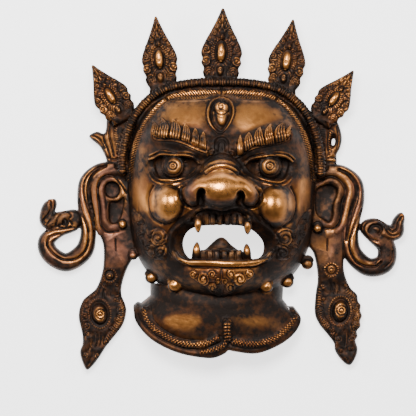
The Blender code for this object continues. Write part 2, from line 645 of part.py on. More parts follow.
def add_leaf(clay, foot, tip, wide):
    """One crown leaf with its three gems, and petals and curls at both sides of them."""
    foot, along, side, length = leaf_frame(foot, tip)
    size = length / LEAF_LENGTH
    rows = np.array(LEAF_HALF_WIDTHS)
    right = np.column_stack([rows[:, 1] * size * wide, rows[:, 0] * length])
    local = smooth_line(np.vstack([right, right[::-1] * [-1, 1]]), closed=True)
    outline = foot + local[:, :1] * side + local[:, 1:] * along

    def front(points):
        return LEAF_BACK + LEAF_THICKNESS + LEAF_LEAN * ((points - foot) @ along)

    def height_at(points, depth_in):
        edge = LEAF_ROLL_RISE * swell(np.abs(depth_in - LEAF_EDGE), LEAF_ROLL_WIDTH)
        fall = LEAF_EDGE_SHARE * LEAF_THICKNESS * (1 - rounded(depth_in, LEAF_EDGE))
        return front(points) - fall + edge

    turn = math.atan2(along[1], along[0]) - math.pi / 2

    def add_gem(middle, half, rise, lean, segments):
        spot = foot + size * (middle[0] * side + middle[1] * along)
        add_ball(clay, (*spot, front(spot[None])[0]), (half[0] * size, half[1] * size, rise),
                 turn + lean, segments)

    add_plate(clay, outline, LEAF_BACK - 0.5 * LEAF_EDGE, height_at)
    for middle, half, share in LEAF_GEMS:
        add_gem(middle, half, share * LEAF_GEM_RISE, 0.0, 16)
    for hand in (-1, 1):
        for (across, up), half in LEAF_CURLS:
            add_gem((hand * across, up), half, LEAF_CURL_SHARE * LEAF_GEM_RISE,
                    -hand * LEAF_CURL_TURN, 12)


def add_crown(clay, rods):
    """The beaded band, the hair fringe below it and the five leaves."""
    band = smooth_line(plan(BAND_LINE))
    rods.append((np.column_stack([band, np.full(len(band), CROWN_BAND_HEIGHT)]),
                 np.full(len(band), CROWN_BAND_RADIUS)))
    for line in (FRINGE_LINE, mirrored(FRINGE_LINE)):
        stroke(rods, smooth_line(plan(line)), FRINGE_RADIUS, lift=-0.0002)
    for foot, tip, wide in LEAVES:
        add_leaf(clay, foot, tip, wide)


# Face details


def add_eyes(clay, rods):
    """Lids, pupils, brows and the third eye."""
    for side in (1, -1):
        def across(points, side=side):
            return plan([(side * x, y) for x, y in points])

        for line, radius in ((UPPER_LID, 1.25 * LID_RADIUS), (LOWER_LID, LID_RADIUS),
                             (UNDER_LID, 0.8 * LID_RADIUS)):
            stroke(rods, smooth_line(across(line)), radius, lift=0.0008)
        stroke(rods, smooth_line(across(BROW_BASE)), LID_RADIUS, lift=0.0006)
        for root, tip in BROW_LOCKS:
            root, tip = across([root])[0], across([tip])[0]
            middle = (root + tip) / 2
            turn = math.atan2(*(tip - root)[::-1])
            add_ball(clay, on_face(middle, 0.0008)[0],
                     (0.56 * np.linalg.norm(tip - root), LOCK_HALF_WIDTH, LOCK_RISE), turn, 12)
        middle = across([EYE_MIDDLE])[0]
        ring = middle + 0.0034 * np.column_stack([np.cos(np.linspace(0, 2 * math.pi, 25)),
                                                  np.sin(np.linspace(0, 2 * math.pi, 25))])
        stroke(rods, ring, 0.0007, taper=1.0)
        add_ball(clay, on_face(middle)[0], (0.0013, 0.0013, 0.0012), segments=12)
    frame = smooth_line(plan(THIRD_EYE_FRAME), closed=True)
    stroke(rods, np.vstack([frame, frame[:1]]), FRAME_RADIUS, taper=1.0, lift=0.0004)
    add_ball(clay, on_face(plan(THIRD_EYE_BALL))[0], (0.0060, 0.0056, 0.0048))
    add_ball(clay, on_face(plan(THIRD_EYE_PEG))[0], (0.0036, 0.0062, 0.0034))
    stroke(rods, smooth_line(plan(OMEGA_LINE)), FRAME_RADIUS, taper=0.9, lift=0.0003)
    for line in NOSE_WRINKLES:
        stroke(rods, smooth_line(plan(line)), 0.9 * LID_RADIUS, lift=-0.0003)


def add_mouth(clay, rods):
    """Lips, teeth, fangs and the tongue."""
    lips = smooth_line(plan(LIP_LINE), closed=True)
    heights = face_height(lips)
    lower = swell(np.abs(lips[:, 1] - plan((0, -55.5))[1]), 12 * PLAN_UNIT)
    radii = LIP_RADIUS * (0.7 + 0.45 * lower)
    rods.append((np.column_stack([lips, heights])[np.r_[:len(lips), 0]],
                 radii[np.r_[:len(lips), 0]]))
    gum = face_height(plan([(0, -20)]))[0] - GUM_DEPTH
    floor = face_height(plan([(0, -50)]))[0] - LOWER_GUM_DEPTH
    for count, left, right, y, level in ((*UPPER_TEETH, gum), (*LOWER_TEETH, floor)):
        row = plan([(left - 4, y), (left, y), (right, y), (right + 4, y)])
        rods.append((np.column_stack([row, np.full(4, level - GUM_DEPTH)]),
                     np.full(4, TOOTH_ROOT_RADIUS)))
        for x in np.linspace(left, right, count):
            add_ball(clay, (*plan((x, y)), level), (TOOTH_RADIUS, 0.0034, 0.0024), segments=10)
    for pairs, level in ((UPPER_FANGS, gum), (LOWER_FANGS, floor)):
        for root, tip in pairs:
            line = smooth_line(plan([root, np.mean([root, tip], axis=0), tip]), 0.001)
            share = np.linspace(0, 1, len(line))
            rods.append((np.column_stack([line, level + 0.003 * np.sin(math.pi * share)]),
                         FANG_RADIUS * (1 - 0.8 * share**2)))
    tongue_back = floor - TONGUE_DROP
    add_plate(clay, smooth_line(plan(TONGUE + [(12, -56), (-12, -56)]), closed=True), tongue_back,
              lambda points, depth_in: tongue_back + TONGUE_RISE * rounded(depth_in, 0.005))


def add_beard(clay, rods):
    """Whiskers, the beard under the lip and the curls along the jaw."""
    for side in (1, -1):
        stroke(rods, smooth_line(plan([(side * x, y) for x, y in WHISKER_LINE])),
               WHISKER_WIDTH * SCROLL_RADIUS, lift=-0.001)
        for (x, y), reach in WHISKER_SPIRALS + BEARD_SPIRALS:
            stroke(rods, spiral((side * x, y), reach, side), SCROLL_RADIUS, lift=0.0004)
            add_ball(clay, on_face(plan((side * x, y)))[0], (0.0012, 0.0012, 0.0018),
                     segments=10)
    add_ball(clay, on_face(plan(BEARD_LEAF_MIDDLE))[0], (*plan(BEARD_LEAF_HALF), 0.0022))
    for x, y in KNOBS_RIGHT + KNOBS_LEFT:
        spot = plan((x, y))
        level = max(face_height(spot[None])[0], LEAST_KNOB_HEIGHT)
        add_ball(clay, (*spot, level), (KNOB_RADIUS, 0.95 * KNOB_RADIUS, KNOB_RADIUS))


# Neck


def add_neck(clay, rods):
    """The neck: a skin lofted from under the chin to the flared collar, with its wall."""
    across = np.linspace(0, 1, 61)
    rows = []
    for line in (NECK_TOP, NECK_WAIST, NECK_EDGE):
        dense = smooth_line(plan(line), 0.0005)
        run = np.concatenate([[0], np.cumsum(np.hypot(*np.diff(dense, axis=0).T))])
        rows.append(np.column_stack([np.interp(across * run[-1], run, dense[:, k])
                                     for k in (0, 1)]))
    arch = (1 - np.abs(2 * across - 1) ** 2.6) ** 0.5
    levels = [NECK_RISE, 0.92 * NECK_RISE, COLLAR_RISE]
    down = smooth_line(np.array([[i, 0] for i in range(3)], float), 0.1)[:, 0]
    grid = []
    for step in down:
        first = min(int(step), 1)
        ease = step - first
        xy = rows[first] * (1 - ease) + rows[first + 1] * ease
        level = levels[first] * (1 - ease) + levels[first + 1] * ease
        belly = NECK_BELLY * math.sin(math.pi * step / 2)
        grid.append(np.column_stack([xy, (level + belly) * arch - RIM_BELOW_CUT * (arch <= 0)]))
    bm = bmesh.new()
    skin = [[bm.verts.new(point) for point in row] for row in grid]
    for upper, lower in zip(skin, skin[1:]):
        for i in range(len(upper) - 1):
            bm.faces.new((upper[i], lower[i], lower[i + 1], upper[i + 1]))
    bmesh.ops.recalc_face_normals(bm, faces=bm.faces)
    if sum(face.normal.z for face in bm.faces) < 0:
        bmesh.ops.reverse_faces(bm, faces=bm.faces)
    pour(clay, finish_shell(bm, "neck_shell"))

    edge = grid[-1]
    rods.append((edge + [0, 0, -0.0016], np.full(len(edge), COLLAR_BRAID_RADIUS)))
    flat = np.vstack(grid)
    for line in (COLLAR_LEFT, COLLAR_RIGHT, STRAP_LINE):
        path = smooth_line(plan(line))
        nearest = [np.argmin(((flat[:, :2] - spot) ** 2).sum(axis=1)) for spot in path]
        stroke(rods, path, COLLAR_BRAID_RADIUS, taper=0.8, height=flat[nearest, 2] + 0.0005)


# Sides


def add_ear(clay, rods, outline, side, boss, turn, bead, bead_radius):
    """One ear with its long lobe and the pendant that is cast on it."""
    ear = smooth_line(plan(outline), closed=True)

    def height_at(points, depth_in):
        low = np.clip((PENDANT_TOP - points[:, 1] / PLAN_UNIT) / PENDANT_BLEND, 0, 1)
        body = EAR_THICKNESS * (1 - low) + PENDANT_THICKNESS * low
        rim = 0.0010 * swell(np.abs(depth_in - 0.0022), 0.0018) * low
        folded = np.column_stack([side * points[:, 0], points[:, 1]])
        hollow = EAR_HOLLOW_DEPTH * hill(folded, EAR_HOLLOW_MIDDLE, EAR_HOLLOW_HALF)
        return EAR_BACK + body * (0.35 + 0.65 * rounded(depth_in, 0.003)) + rim - hollow

    add_plate(clay, ear, EAR_BACK, height_at)
    top = EAR_BACK + EAR_THICKNESS
    for line, lift in ((HELIX_LEFT, 0.0), (ANTIHELIX_LEFT, -0.001)):
        path = smooth_line(plan([(-side * x, y) for x, y in line]))
        stroke(rods, path, EAR_ROLL_RADIUS, taper=0.7, height=top + lift)
    front = EAR_BACK + PENDANT_THICKNESS
    add_ball(clay, (*plan(boss), front),
             (BOSS_HALF[0] * PLAN_UNIT, BOSS_HALF[1] * PLAN_UNIT, PENDANT_BOSS_RISE), turn)
    ring = np.linspace(0, 2 * math.pi, 40)
    halo = plan(boss) + np.column_stack([np.cos(ring), np.sin(ring)]) * plan(HALO_HALF)
    stroke(rods, halo, 0.9 * SCROLL_RADIUS, taper=1.0, height=front)
    add_ball(clay, (*plan(bead), front), (bead_radius * PLAN_UNIT,) * 2 + (0.003,))
    for angle in (np.arange(RAY_COUNT) + 0.5) * 2 * math.pi / RAY_COUNT:
        ray = PLAN_UNIT * np.array([math.cos(angle), RAY_STRETCH * math.sin(angle)])
        stroke(rods, plan(boss) + np.outer(RAY_REACH, ray), SCROLL_RADIUS, taper=0.8, height=front)
    for up in CHEVRONS:
        x = np.interp(up, (-124, -71), (side * 98, side * 84))
        for lean in (-CHEVRON_HALF[0], CHEVRON_HALF[0]):
            ends = plan([(x, up - CHEVRON_HALF[1]), (x + lean, up + CHEVRON_HALF[1])])
            stroke(rods, ends, SCROLL_RADIUS, taper=0.8, height=front - 0.0006)


def add_ribbon(clay, stations):
    """A fluted ribbon: a loft along its centre line, as wide and as high as its stations say."""
    rows = np.array([(*middle, half, lift) for middle, half, lift in stations], float)
    line = smooth_line(rows, 1.3)
    centre, half, lift = line[:, :2], line[:, 2], line[:, 3]
    ahead = np.gradient(centre, axis=0)
    ahead /= np.linalg.norm(ahead, axis=1)[:, None]
    side = np.column_stack([ahead[:, 1], -ahead[:, 0]])
    across = np.linspace(-1, 1, 13)
    profile = (1 - np.abs(across) ** 6) ** 0.5 * RIBBON_THICKNESS
    profile += RIBBON_FLUTE * (np.cos(2 * math.pi * across * 1.15) - 0.6) * (np.abs(across) < 0.95)
    bm = bmesh.new()
    rings = []
    for place, out, width, raised in zip(centre, side, half, lift):
        points = plan(place + across[:, None] * width * out)
        base = RIBBON_BACK + raised * 0.001
        top = [bm.verts.new((*p, base + max(h, 0.0005))) for p, h in zip(points, profile)]
        bottom = [bm.verts.new((*p, base)) for p in points[::-1]]
        rings.append(top + bottom)
    for one, two in zip(rings, rings[1:]):
        for i in range(len(one)):
            j = (i + 1) % len(one)
            bm.faces.new((one[i], one[j], two[j], two[i]))
    bm.faces.new(rings[0][::-1])
    bm.faces.new(rings[-1])
    bmesh.ops.recalc_face_normals(bm, faces=bm.faces)
    mesh = bpy.data.meshes.new("ribbon")
    bm.to_mesh(mesh)
    bm.free()
    clay.from_mesh(mesh)


def add_bow(clay, outline):
    """The pleated bow at one end of the crown."""
    edge = smooth_line(plan(outline), closed=True)

    def height_at(points, depth_in):
        return BOW_BACK + BOW_THICKNESS * (0.3 + 0.7 * rounded(depth_in, 0.003))

    add_plate(clay, edge, BOW_BACK, height_at)


def fuse(clay):
    """The clay as one casting: fused, thinned and cut flat behind."""
    mesh = bpy.data.meshes.new("mask_casting")
    clay.to_mesh(mesh)
    clay.free()
    mask = bpy.data.objects.new("mask_casting", mesh)
    collection = bpy.data.collections.new("bhairava_mask")
    bpy.context.scene.collection.children.link(collection)
    collection.objects.link(mask)
    fused = mask.modifiers.new("fuse", "REMESH")
    fused.mode = "VOXEL"
    fused.voxel_size = FUSE_VOXEL
    soften = mask.modifiers.new("soften", "SMOOTH")
    soften.factor = 0.5
    soften.iterations = 1
    graph = bpy.context.evaluated_depsgraph_get()
    count = sum(len(p.vertices) - 2 for p in mask.evaluated_get(graph).data.polygons)
    thin = mask.modifiers.new("thin", "DECIMATE")
    thin.ratio = min(1.0, TRIANGLE_BUDGET / count)
    half = FLOOR_CUTTER_HALF
    floor = prism("floor_cutter", [(-half, -half), (half, -half), (half, half), (-half, half)],
                  -FLOOR_CUTTER_DEPTH, 0.0)
    cutters = bpy.data.collections.new("cutters")
    bpy.context.scene.collection.children.link(cutters)
    bpy.context.scene.collection.objects.unlink(floor)
    cutters.objects.link(floor)
    flat = mask.modifiers.new("flat_back", "BOOLEAN")
    flat.operation = "DIFFERENCE"
    flat.object = floor
    return mask


def bronze():
    """Dark patinated bronze."""
    material = bpy.data.materials.new("patinated_bronze")
    material.use_nodes = True
    shader = material.node_tree.nodes["Principled BSDF"]
    shader.inputs["Base Color"].default_value = (0.30, 0.155, 0.065, 1.0)
    shader.inputs["Metallic"].default_value = 0.9
    shader.inputs["Roughness"].default_value = 0.42
    return material


def main():
    for item in list(bpy.data.objects):
        bpy.data.objects.remove(item)
    clay = bmesh.new()
    rods = []
    add_head(clay)
    add_neck(clay, rods)
    add_crown(clay, rods)
    add_eyes(clay, rods)
    add_mouth(clay, rods)
    add_beard(clay, rods)
    for outline, side, (boss, turn), (bead, radius) in zip(
            (EAR_LEFT, EAR_RIGHT), (-1, 1), PENDANT_BOSSES, PENDANT_BEADS):
        add_ear(clay, rods, outline, side, boss, turn, bead, radius)
    add_ribbon(clay, RIBBON_LEFT)
    add_ribbon(clay, RIBBON_RIGHT)
    add_bow(clay, BOW_LEFT)
    add_bow(clay, BOW_RIGHT)
    add_rods(clay, rods)
    mask = fuse(clay)
    mask.data.materials.append(bronze())


main()
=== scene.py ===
"""Looks of the mask: one bronze casting, modelled in clay, fused, chased and patinated.

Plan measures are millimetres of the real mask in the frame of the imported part: x to the
viewer's right, y towards the crown and z out of the face, with the back rim at z 0.
"""

import logging
import math
from dataclasses import dataclass
from enum import Enum
from typing import Callable, Iterable, Sequence

import bmesh
import bpy
import numpy as np
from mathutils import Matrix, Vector


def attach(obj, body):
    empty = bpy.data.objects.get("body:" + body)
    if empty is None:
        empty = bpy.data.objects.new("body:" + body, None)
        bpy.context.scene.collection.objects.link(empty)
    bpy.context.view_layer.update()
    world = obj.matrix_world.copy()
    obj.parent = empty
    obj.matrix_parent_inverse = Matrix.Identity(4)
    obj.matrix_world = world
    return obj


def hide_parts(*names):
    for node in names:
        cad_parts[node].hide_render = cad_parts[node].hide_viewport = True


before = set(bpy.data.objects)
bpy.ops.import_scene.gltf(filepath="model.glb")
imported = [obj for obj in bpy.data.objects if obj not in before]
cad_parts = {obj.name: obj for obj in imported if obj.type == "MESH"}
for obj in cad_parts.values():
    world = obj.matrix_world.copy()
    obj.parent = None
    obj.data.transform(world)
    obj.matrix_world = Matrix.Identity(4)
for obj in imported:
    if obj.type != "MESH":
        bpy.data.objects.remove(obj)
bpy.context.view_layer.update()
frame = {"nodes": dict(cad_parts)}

LOG = logging.getLogger("mask")
MM = 0.001
SENSOR = 36.0
LINE_STEP = 0.7
BALL_SEGMENTS = 20
ROD_SIDES = 12
FRONT = 0.12
Spot = tuple[float, float]
Plan = Sequence[Spot]
Rows = np.ndarray
Line = Plan | Rows


class Side(Enum):
    """The viewer's left or right half of the mask."""

    LEFT = -1
    RIGHT = 1

    def place(self, points: Plan) -> list[Spot]:
        """Plan points of the right half, put on this side."""
        return [(self.value * x, y) for x, y in points]


# Lines and fields in plan


def smooth_line(points: Line, step: float = 1.0, closed: bool = False) -> Rows:
    """A smooth line through points.

    Args:
        points: rows of two or more numbers, the first two in plan.
        step: distance between the rows of the result.
        closed: whether the line runs back to its start.

    Returns:
        The rows of the line.
    """
    p = np.array(points, float)
    count = len(p)
    rows = []
    for i in range(count if closed else count - 1):
        before = p[i - 1] if closed else p[max(i - 1, 0)]
        here = p[i]
        there = p[(i + 1) % count]
        after = p[(i + 2) % count] if closed else p[min(i + 2, count - 1)]
        cuts = max(1, round(float(np.linalg.norm((there - here)[:2])) / step))
        t = np.arange(cuts)[:, None] / cuts
        rows.append(here + 0.5 * t * (there - before)
                    + t**2 * (before - 2.5 * here + 2 * there - 0.5 * after)
                    + t**3 * (1.5 * here - 0.5 * before - 1.5 * there + 0.5 * after))
    if not closed:
        rows.append(p[-1:])
    return np.vstack(rows)


def drawn(line: Line, closed: bool = False) -> Rows:
    """A line to work along: loose points are smoothed, an array is one already."""
    return line if isinstance(line, Rows) else smooth_line(line, LINE_STEP, closed)


def fold(points: Rows) -> Rows:
    """Plan points with the left half laid over the right."""
    return np.column_stack([np.abs(points[:, 0]), points[:, 1]])


def values(items: Iterable, key: str, width: int = 3, kind: type = float) -> Rows:
    """One value of each item of a mesh, as rows.

    Args:
        items: the mesh's points, normals or edges.
        key: name of the value.
        width: how many numbers it has.
        kind: type of the numbers.

    Returns:
        A row for each item.
    """
    flat = np.empty(width * len(items), kind)
    items.foreach_get(key, flat)
    return flat.reshape(-1, width)


def along(points: Rows, line: Rows, closed: bool = False
          ) -> tuple[Rows, Rows, Rows]:
    """Where plan points are beside a line.

    Args:
        points: the plan points.
        line: the line's rows.
        closed: whether it runs back to its start.

    Returns:
        The distance from the line, the run along it, and the offset to its left or right.
    """
    starts = line if closed else line[:-1]
    ends = np.roll(line, -1, axis=0) if closed else line[1:]
    near = np.full(len(points), 1e9)
    run = np.zeros(len(points))
    offset = np.zeros(len(points))
    done = 0.0
    for start, end in zip(starts[:, :2], ends[:, :2]):
        step = end - start
        length = float(np.hypot(*step))
        if length < 1e-9:
            continue
        gap = points - start
        share = np.clip(gap @ step / length**2, 0, 1)
        distance = np.hypot(gap[:, 0] - share * step[0], gap[:, 1] - share * step[1])
        hit = distance < near
        near[hit] = distance[hit]
        run[hit] = done + share[hit] * length
        turn = step[1] * gap[:, 0] - step[0] * gap[:, 1]
        offset[hit] = np.sign(turn[hit]) * distance[hit]
        done += length
    return near, run, offset


def inside(points: Rows, outline: Rows) -> Rows:
    """Whether each plan point is inside a closed outline."""
    odd = np.zeros(len(points), bool)
    for start, end in zip(outline, np.roll(outline, -1, axis=0)):
        crosses = (start[1] > points[:, 1]) != (end[1] > points[:, 1])
        rise = end[1] - start[1]
        reach = start[0] + (points[:, 1] - start[1]) * (end[0] - start[0]) / (rise or 1e-12)
        odd ^= crosses & (points[:, 0] < reach)
    return odd


def swell(distance: Rows, width: float) -> Rows:
    """A round-topped ridge: 1 on the line, 0 at the width and beyond."""
    return 0.5 + 0.5 * np.cos(math.pi * np.clip(distance / width, 0, 1))


def rounded(depth_in: Rows, width: float) -> Rows:
    """A rounded edge: 0 at the outline, 1 from the width inwards."""
    return np.sqrt(1 - (1 - np.clip(depth_in / width, 0, 1)) ** 2)


def spread(points: Rows, middle: Spot, half: Spot,
           turn: float = 0.0) -> Rows:
    """Distance from the middle of an ellipse in plan: 1 on the ellipse.

    Args:
        points: the plan points.
        middle: the ellipse's middle.
        half: its two half sizes.
        turn: its turn, in radians.

    Returns:
        One number for each point.
    """
    offset = points[:, :2] - np.array(middle)
    c, s = math.cos(turn), math.sin(turn)
    across = (offset[:, 0] * c + offset[:, 1] * s) / half[0]
    upward = (offset[:, 1] * c - offset[:, 0] * s) / half[1]
    return np.hypot(across, upward)


def cap(points: Rows, middle: Spot, half: Spot,
        turn: float = 0.0) -> Rows:
    """The front of an ellipsoid in plan: 1 at its middle, 0 from its edge outwards."""
    return np.sqrt(np.clip(1 - spread(points, middle, half, turn) ** 2, 0, 1))


def bulge(points: Rows, middle: Spot, half: Spot,
          turn: float = 0.0, fall: float = 0.6) -> Rows:
    """The front of an ellipsoid that goes on falling below 0 outside its edge."""
    beyond = np.clip(spread(points, middle, half, turn) - 1, 0, None)
    return cap(points, middle, half, turn) - fall * beyond


def hill(points: Rows, middle: Spot, half: Spot,
         turn: float = 0.0) -> Rows:
    """A soft hill in plan: 1 at its middle, falling smoothly to 0."""
    return cap(points, middle, half, turn) ** 2


def smooth_union(low: Rows, high: Rows, blend: float) -> Rows:
    """The higher of two heights, rounded where they meet."""
    share = np.clip(0.5 + 0.5 * (high - low) / blend, 0, 1)
    return low + (high - low) * share + blend * share * (1 - share)


def spiral(middle: Spot, radius: float, hand: int = 1, turns: float = 1.4,
           start: float = 0.0) -> Rows:
    """A plan line that winds in from a radius to the middle.

    Args:
        middle: where it ends.
        radius: how far out it starts.
        hand: 1 to wind to the left, -1 to the right.
        turns: how often it goes round.
        start: the angle that it starts at.

    Returns:
        The rows of the line.
    """
    share = np.linspace(0, 1, 28)
    angle = start + hand * 2 * math.pi * turns * share
    reach = radius * (1 - 0.8 * share)
    return np.array(middle) + np.column_stack([reach * np.cos(angle), reach * np.sin(angle)])


def ellipse(middle: Spot, half: Spot, turn: float = 0.0,
            first: float = 0.0, last: float = 2 * math.pi, count: int = 40) -> Rows:
    """A plan line round an ellipse, from the first angle to the last."""
    angle = np.linspace(first, last, count)
    x, y = half[0] * np.cos(angle), half[1] * np.sin(angle)
    c, s = math.cos(turn), math.sin(turn)
    return np.array(middle) + np.column_stack([x * c - y * s, x * s + y * c])


# Clay


class Clay:
    """Closed forms of clay that are fused into one body later."""

    def __init__(self) -> None:
        """Starts with no clay."""
        self.verts: list[Rows] = []
        self.faces: list[tuple[int, ...]] = []
        self.count = 0

    def add(self, verts: Rows, faces: Iterable[Sequence[int]]) -> None:
        """Adds one closed form."""
        self.faces += [tuple(i + self.count for i in face) for face in faces]
        self.verts.append(np.asarray(verts, float))
        self.count += len(verts)

    def add_object(self, shape: bpy.types.Object) -> None:
        """Adds an object's mesh, which is in metres, and removes the object."""
        mesh = shape.data
        self.add(values(mesh.vertices, "co") / MM, [tuple(f.vertices) for f in mesh.polygons])
        bpy.data.objects.remove(shape)
        bpy.data.meshes.remove(mesh)

    def ball(self, middle: Sequence[float], radii: Sequence[float], turn: float = 0.0) -> None:
        """Adds an ellipsoid.

        Args:
            middle: its x, y and z.
            radii: its three half sizes.
            turn: its turn in plan.
        """
        deselect()
        bpy.ops.mesh.primitive_uv_sphere_add(segments=BALL_SEGMENTS,
                                             ring_count=BALL_SEGMENTS // 2 + 2)
        shape = bpy.context.object
        c, s = math.cos(turn), math.sin(turn)
        grown = values(shape.data.vertices, "co") * np.array(radii)
        turned = grown @ np.array([[c, s, 0], [-s, c, 0], [0, 0, 1]])
        self.add(turned + np.array(middle), [tuple(f.vertices) for f in shape.data.polygons])
        bpy.data.objects.remove(shape)

    def rod(self, line: Rows, radii: float | Rows, flat: float = 1.0) -> None:
        """Adds a round rod along a line of places, with rounded ends.

        Args:
            line: rows of x, y and z.
            radii: one radius, or one for each row.
            flat: the rod's height as a share of its width.
        """
        radii = np.broadcast_to(np.asarray(radii, float), (len(line),))
        ahead = np.gradient(line, axis=0)
        ahead /= np.linalg.norm(ahead, axis=1)[:, None] + 1e-12
        side = np.column_stack([ahead[:, 1], -ahead[:, 0], np.zeros(len(line))])
        side /= np.linalg.norm(side, axis=1)[:, None] + 1e-12
        up = np.cross(side, ahead)
        angle = np.arange(ROD_SIDES) * 2 * math.pi / ROD_SIDES
        rows = [(line[0] - 0.5 * radii[0] * ahead[0], side[0], up[0], 0.6 * radii[0])]
        rows += [(p, s, u, r) for p, s, u, r in zip(line, side, up, radii)]
        rows += [(line[-1] + 0.5 * radii[-1] * ahead[-1], side[-1], up[-1], 0.6 * radii[-1])]
        self.skin([place + r * (np.cos(angle)[:, None] * s + flat * np.sin(angle)[:, None] * u)
                   for place, s, u, r in rows])

    def plate(self, outline: Rows, back: float | Callable[[Rows], Rows],
              front: Callable[[Rows, Rows], Rows], cell: float = 0.8,
              hole: Rows | None = None) -> None:
        """Adds a plate cut to an outline.

        Args:
            outline: the closed outline in plan.
            back: height of the back, or a function of plan points that gives it.
            front: gives the front's height from plan points and their depth inside the edge.
            cell: size of the plate's grid.
            hole: the outline of a hole through the plate.
        """
        low, high = outline.min(axis=0) - cell, outline.max(axis=0) + cell
        span = high - low
        cells = np.maximum(4, np.ceil(span / cell)).astype(int)
        deselect()
        bpy.ops.mesh.primitive_grid_add(x_subdivisions=int(cells[0]),
                                        y_subdivisions=int(cells[1]), size=1.0)
        shape = bpy.context.object
        bm = bmesh.new()
        bm.from_mesh(shape.data)
        middle = (low + high) / 2
        for vert in bm.verts:
            vert.co.xy = (vert.co.x * span[0] + middle[0], vert.co.y * span[1] + middle[1])
        points = np.array([v.co[:2] for v in bm.verts])
        outer = ~inside(points, outline)
        edges = [outline]
        if hole is not None:
            outer |= inside(points, hole)
            edges.append(hole)
        rim = np.vstack([smooth_line(np.vstack([e, e[:1]]), 0.25 * cell) for e in edges])
        off = dict(zip(bm.verts, outer))
        bmesh.ops.delete(bm, geom=[f for f in bm.faces if all(off[v] for v in f.verts)],
                         context="FACES")
        for vert in [v for v in bm.verts if off[v]]:
            gap = rim - np.array(vert.co[:2])
            vert.co.xy = rim[np.argmin((gap**2).sum(axis=1))]
        bmesh.ops.remove_doubles(bm, verts=bm.verts, dist=1e-4)
        bmesh.ops.delete(bm, geom=[v for v in bm.verts if not v.link_faces], context="VERTS")
        lower = list(bm.verts)
        made = bmesh.ops.extrude_face_region(bm, geom=list(bm.faces))["geom"]
        upper = [v for v in made if isinstance(v, bmesh.types.BMVert)]
        points = np.array([v.co[:2] for v in upper])
        depth_in = np.min([along(points, e, closed=True)[0] for e in edges], axis=0)
        for vert, height in zip(upper, front(points, depth_in)):
            vert.co.z = height
        points = np.array([v.co[:2] for v in lower])
        heights = back(points) if callable(back) else np.full(len(points), back)
        for vert, height in zip(lower, heights):
            vert.co.z = height
        bmesh.ops.recalc_face_normals(bm, faces=bm.faces)
        for vert in bm.verts:
            vert.co *= MM
        bm.to_mesh(shape.data)
        bm.free()
        self.add_object(shape)

    def skin(self, rings: Sequence[Rows]) -> None:
        """Adds a body lofted through rings of equal length, with its ends filled."""
        width = len(rings[0])
        faces: list[tuple[int, ...]] = []
        for row in range(len(rings) - 1):
            for i in range(width):
                j = (i + 1) % width
                faces.append((row * width + i, row * width + j,
                              (row + 1) * width + j, (row + 1) * width + i))
        faces.append(tuple(range(width))[::-1])
        faces.append(tuple((len(rings) - 1) * width + i for i in range(width)))
        self.add(np.vstack(rings), faces)

    def shape(self, name: str) -> bpy.types.Object:
        """The clay as a plain object, in metres, with its faces pointing outwards."""
        mesh = bpy.data.meshes.new(name)
        mesh.from_pydata((np.vstack(self.verts) * MM).tolist(), [], self.faces)
        shape = bpy.data.objects.new(name, mesh)
        bpy.context.scene.collection.objects.link(shape)
        select(shape)
        bpy.ops.object.mode_set(mode="EDIT")
        bpy.ops.mesh.select_all(action="SELECT")
        bpy.ops.mesh.normals_make_consistent(inside=False)
        bpy.ops.object.mode_set(mode="OBJECT")
        return shape

    def fuse(self, name: str, voxel: float) -> bpy.types.Object:
        """One closed body of all the clay.

        Args:
            name: the new object's name.
            voxel: size of the fusing grid, in millimetres.

        Returns:
            The object, in metres.
        """
        shape = self.shape(name)
        fused = shape.modifiers.new("fuse", "REMESH")
        fused.mode = "VOXEL"
        fused.voxel_size = voxel * MM
        bpy.ops.object.modifier_apply(modifier=fused.name)
        return shape


def deselect() -> None:
    """Deselects every object."""
    for item in bpy.context.selected_objects:
        item.select_set(False)


def select(shape: bpy.types.Object) -> None:
    """Selects one object alone and makes it active."""
    deselect()
    shape.select_set(True)
    bpy.context.view_layer.objects.active = shape


# Chasing


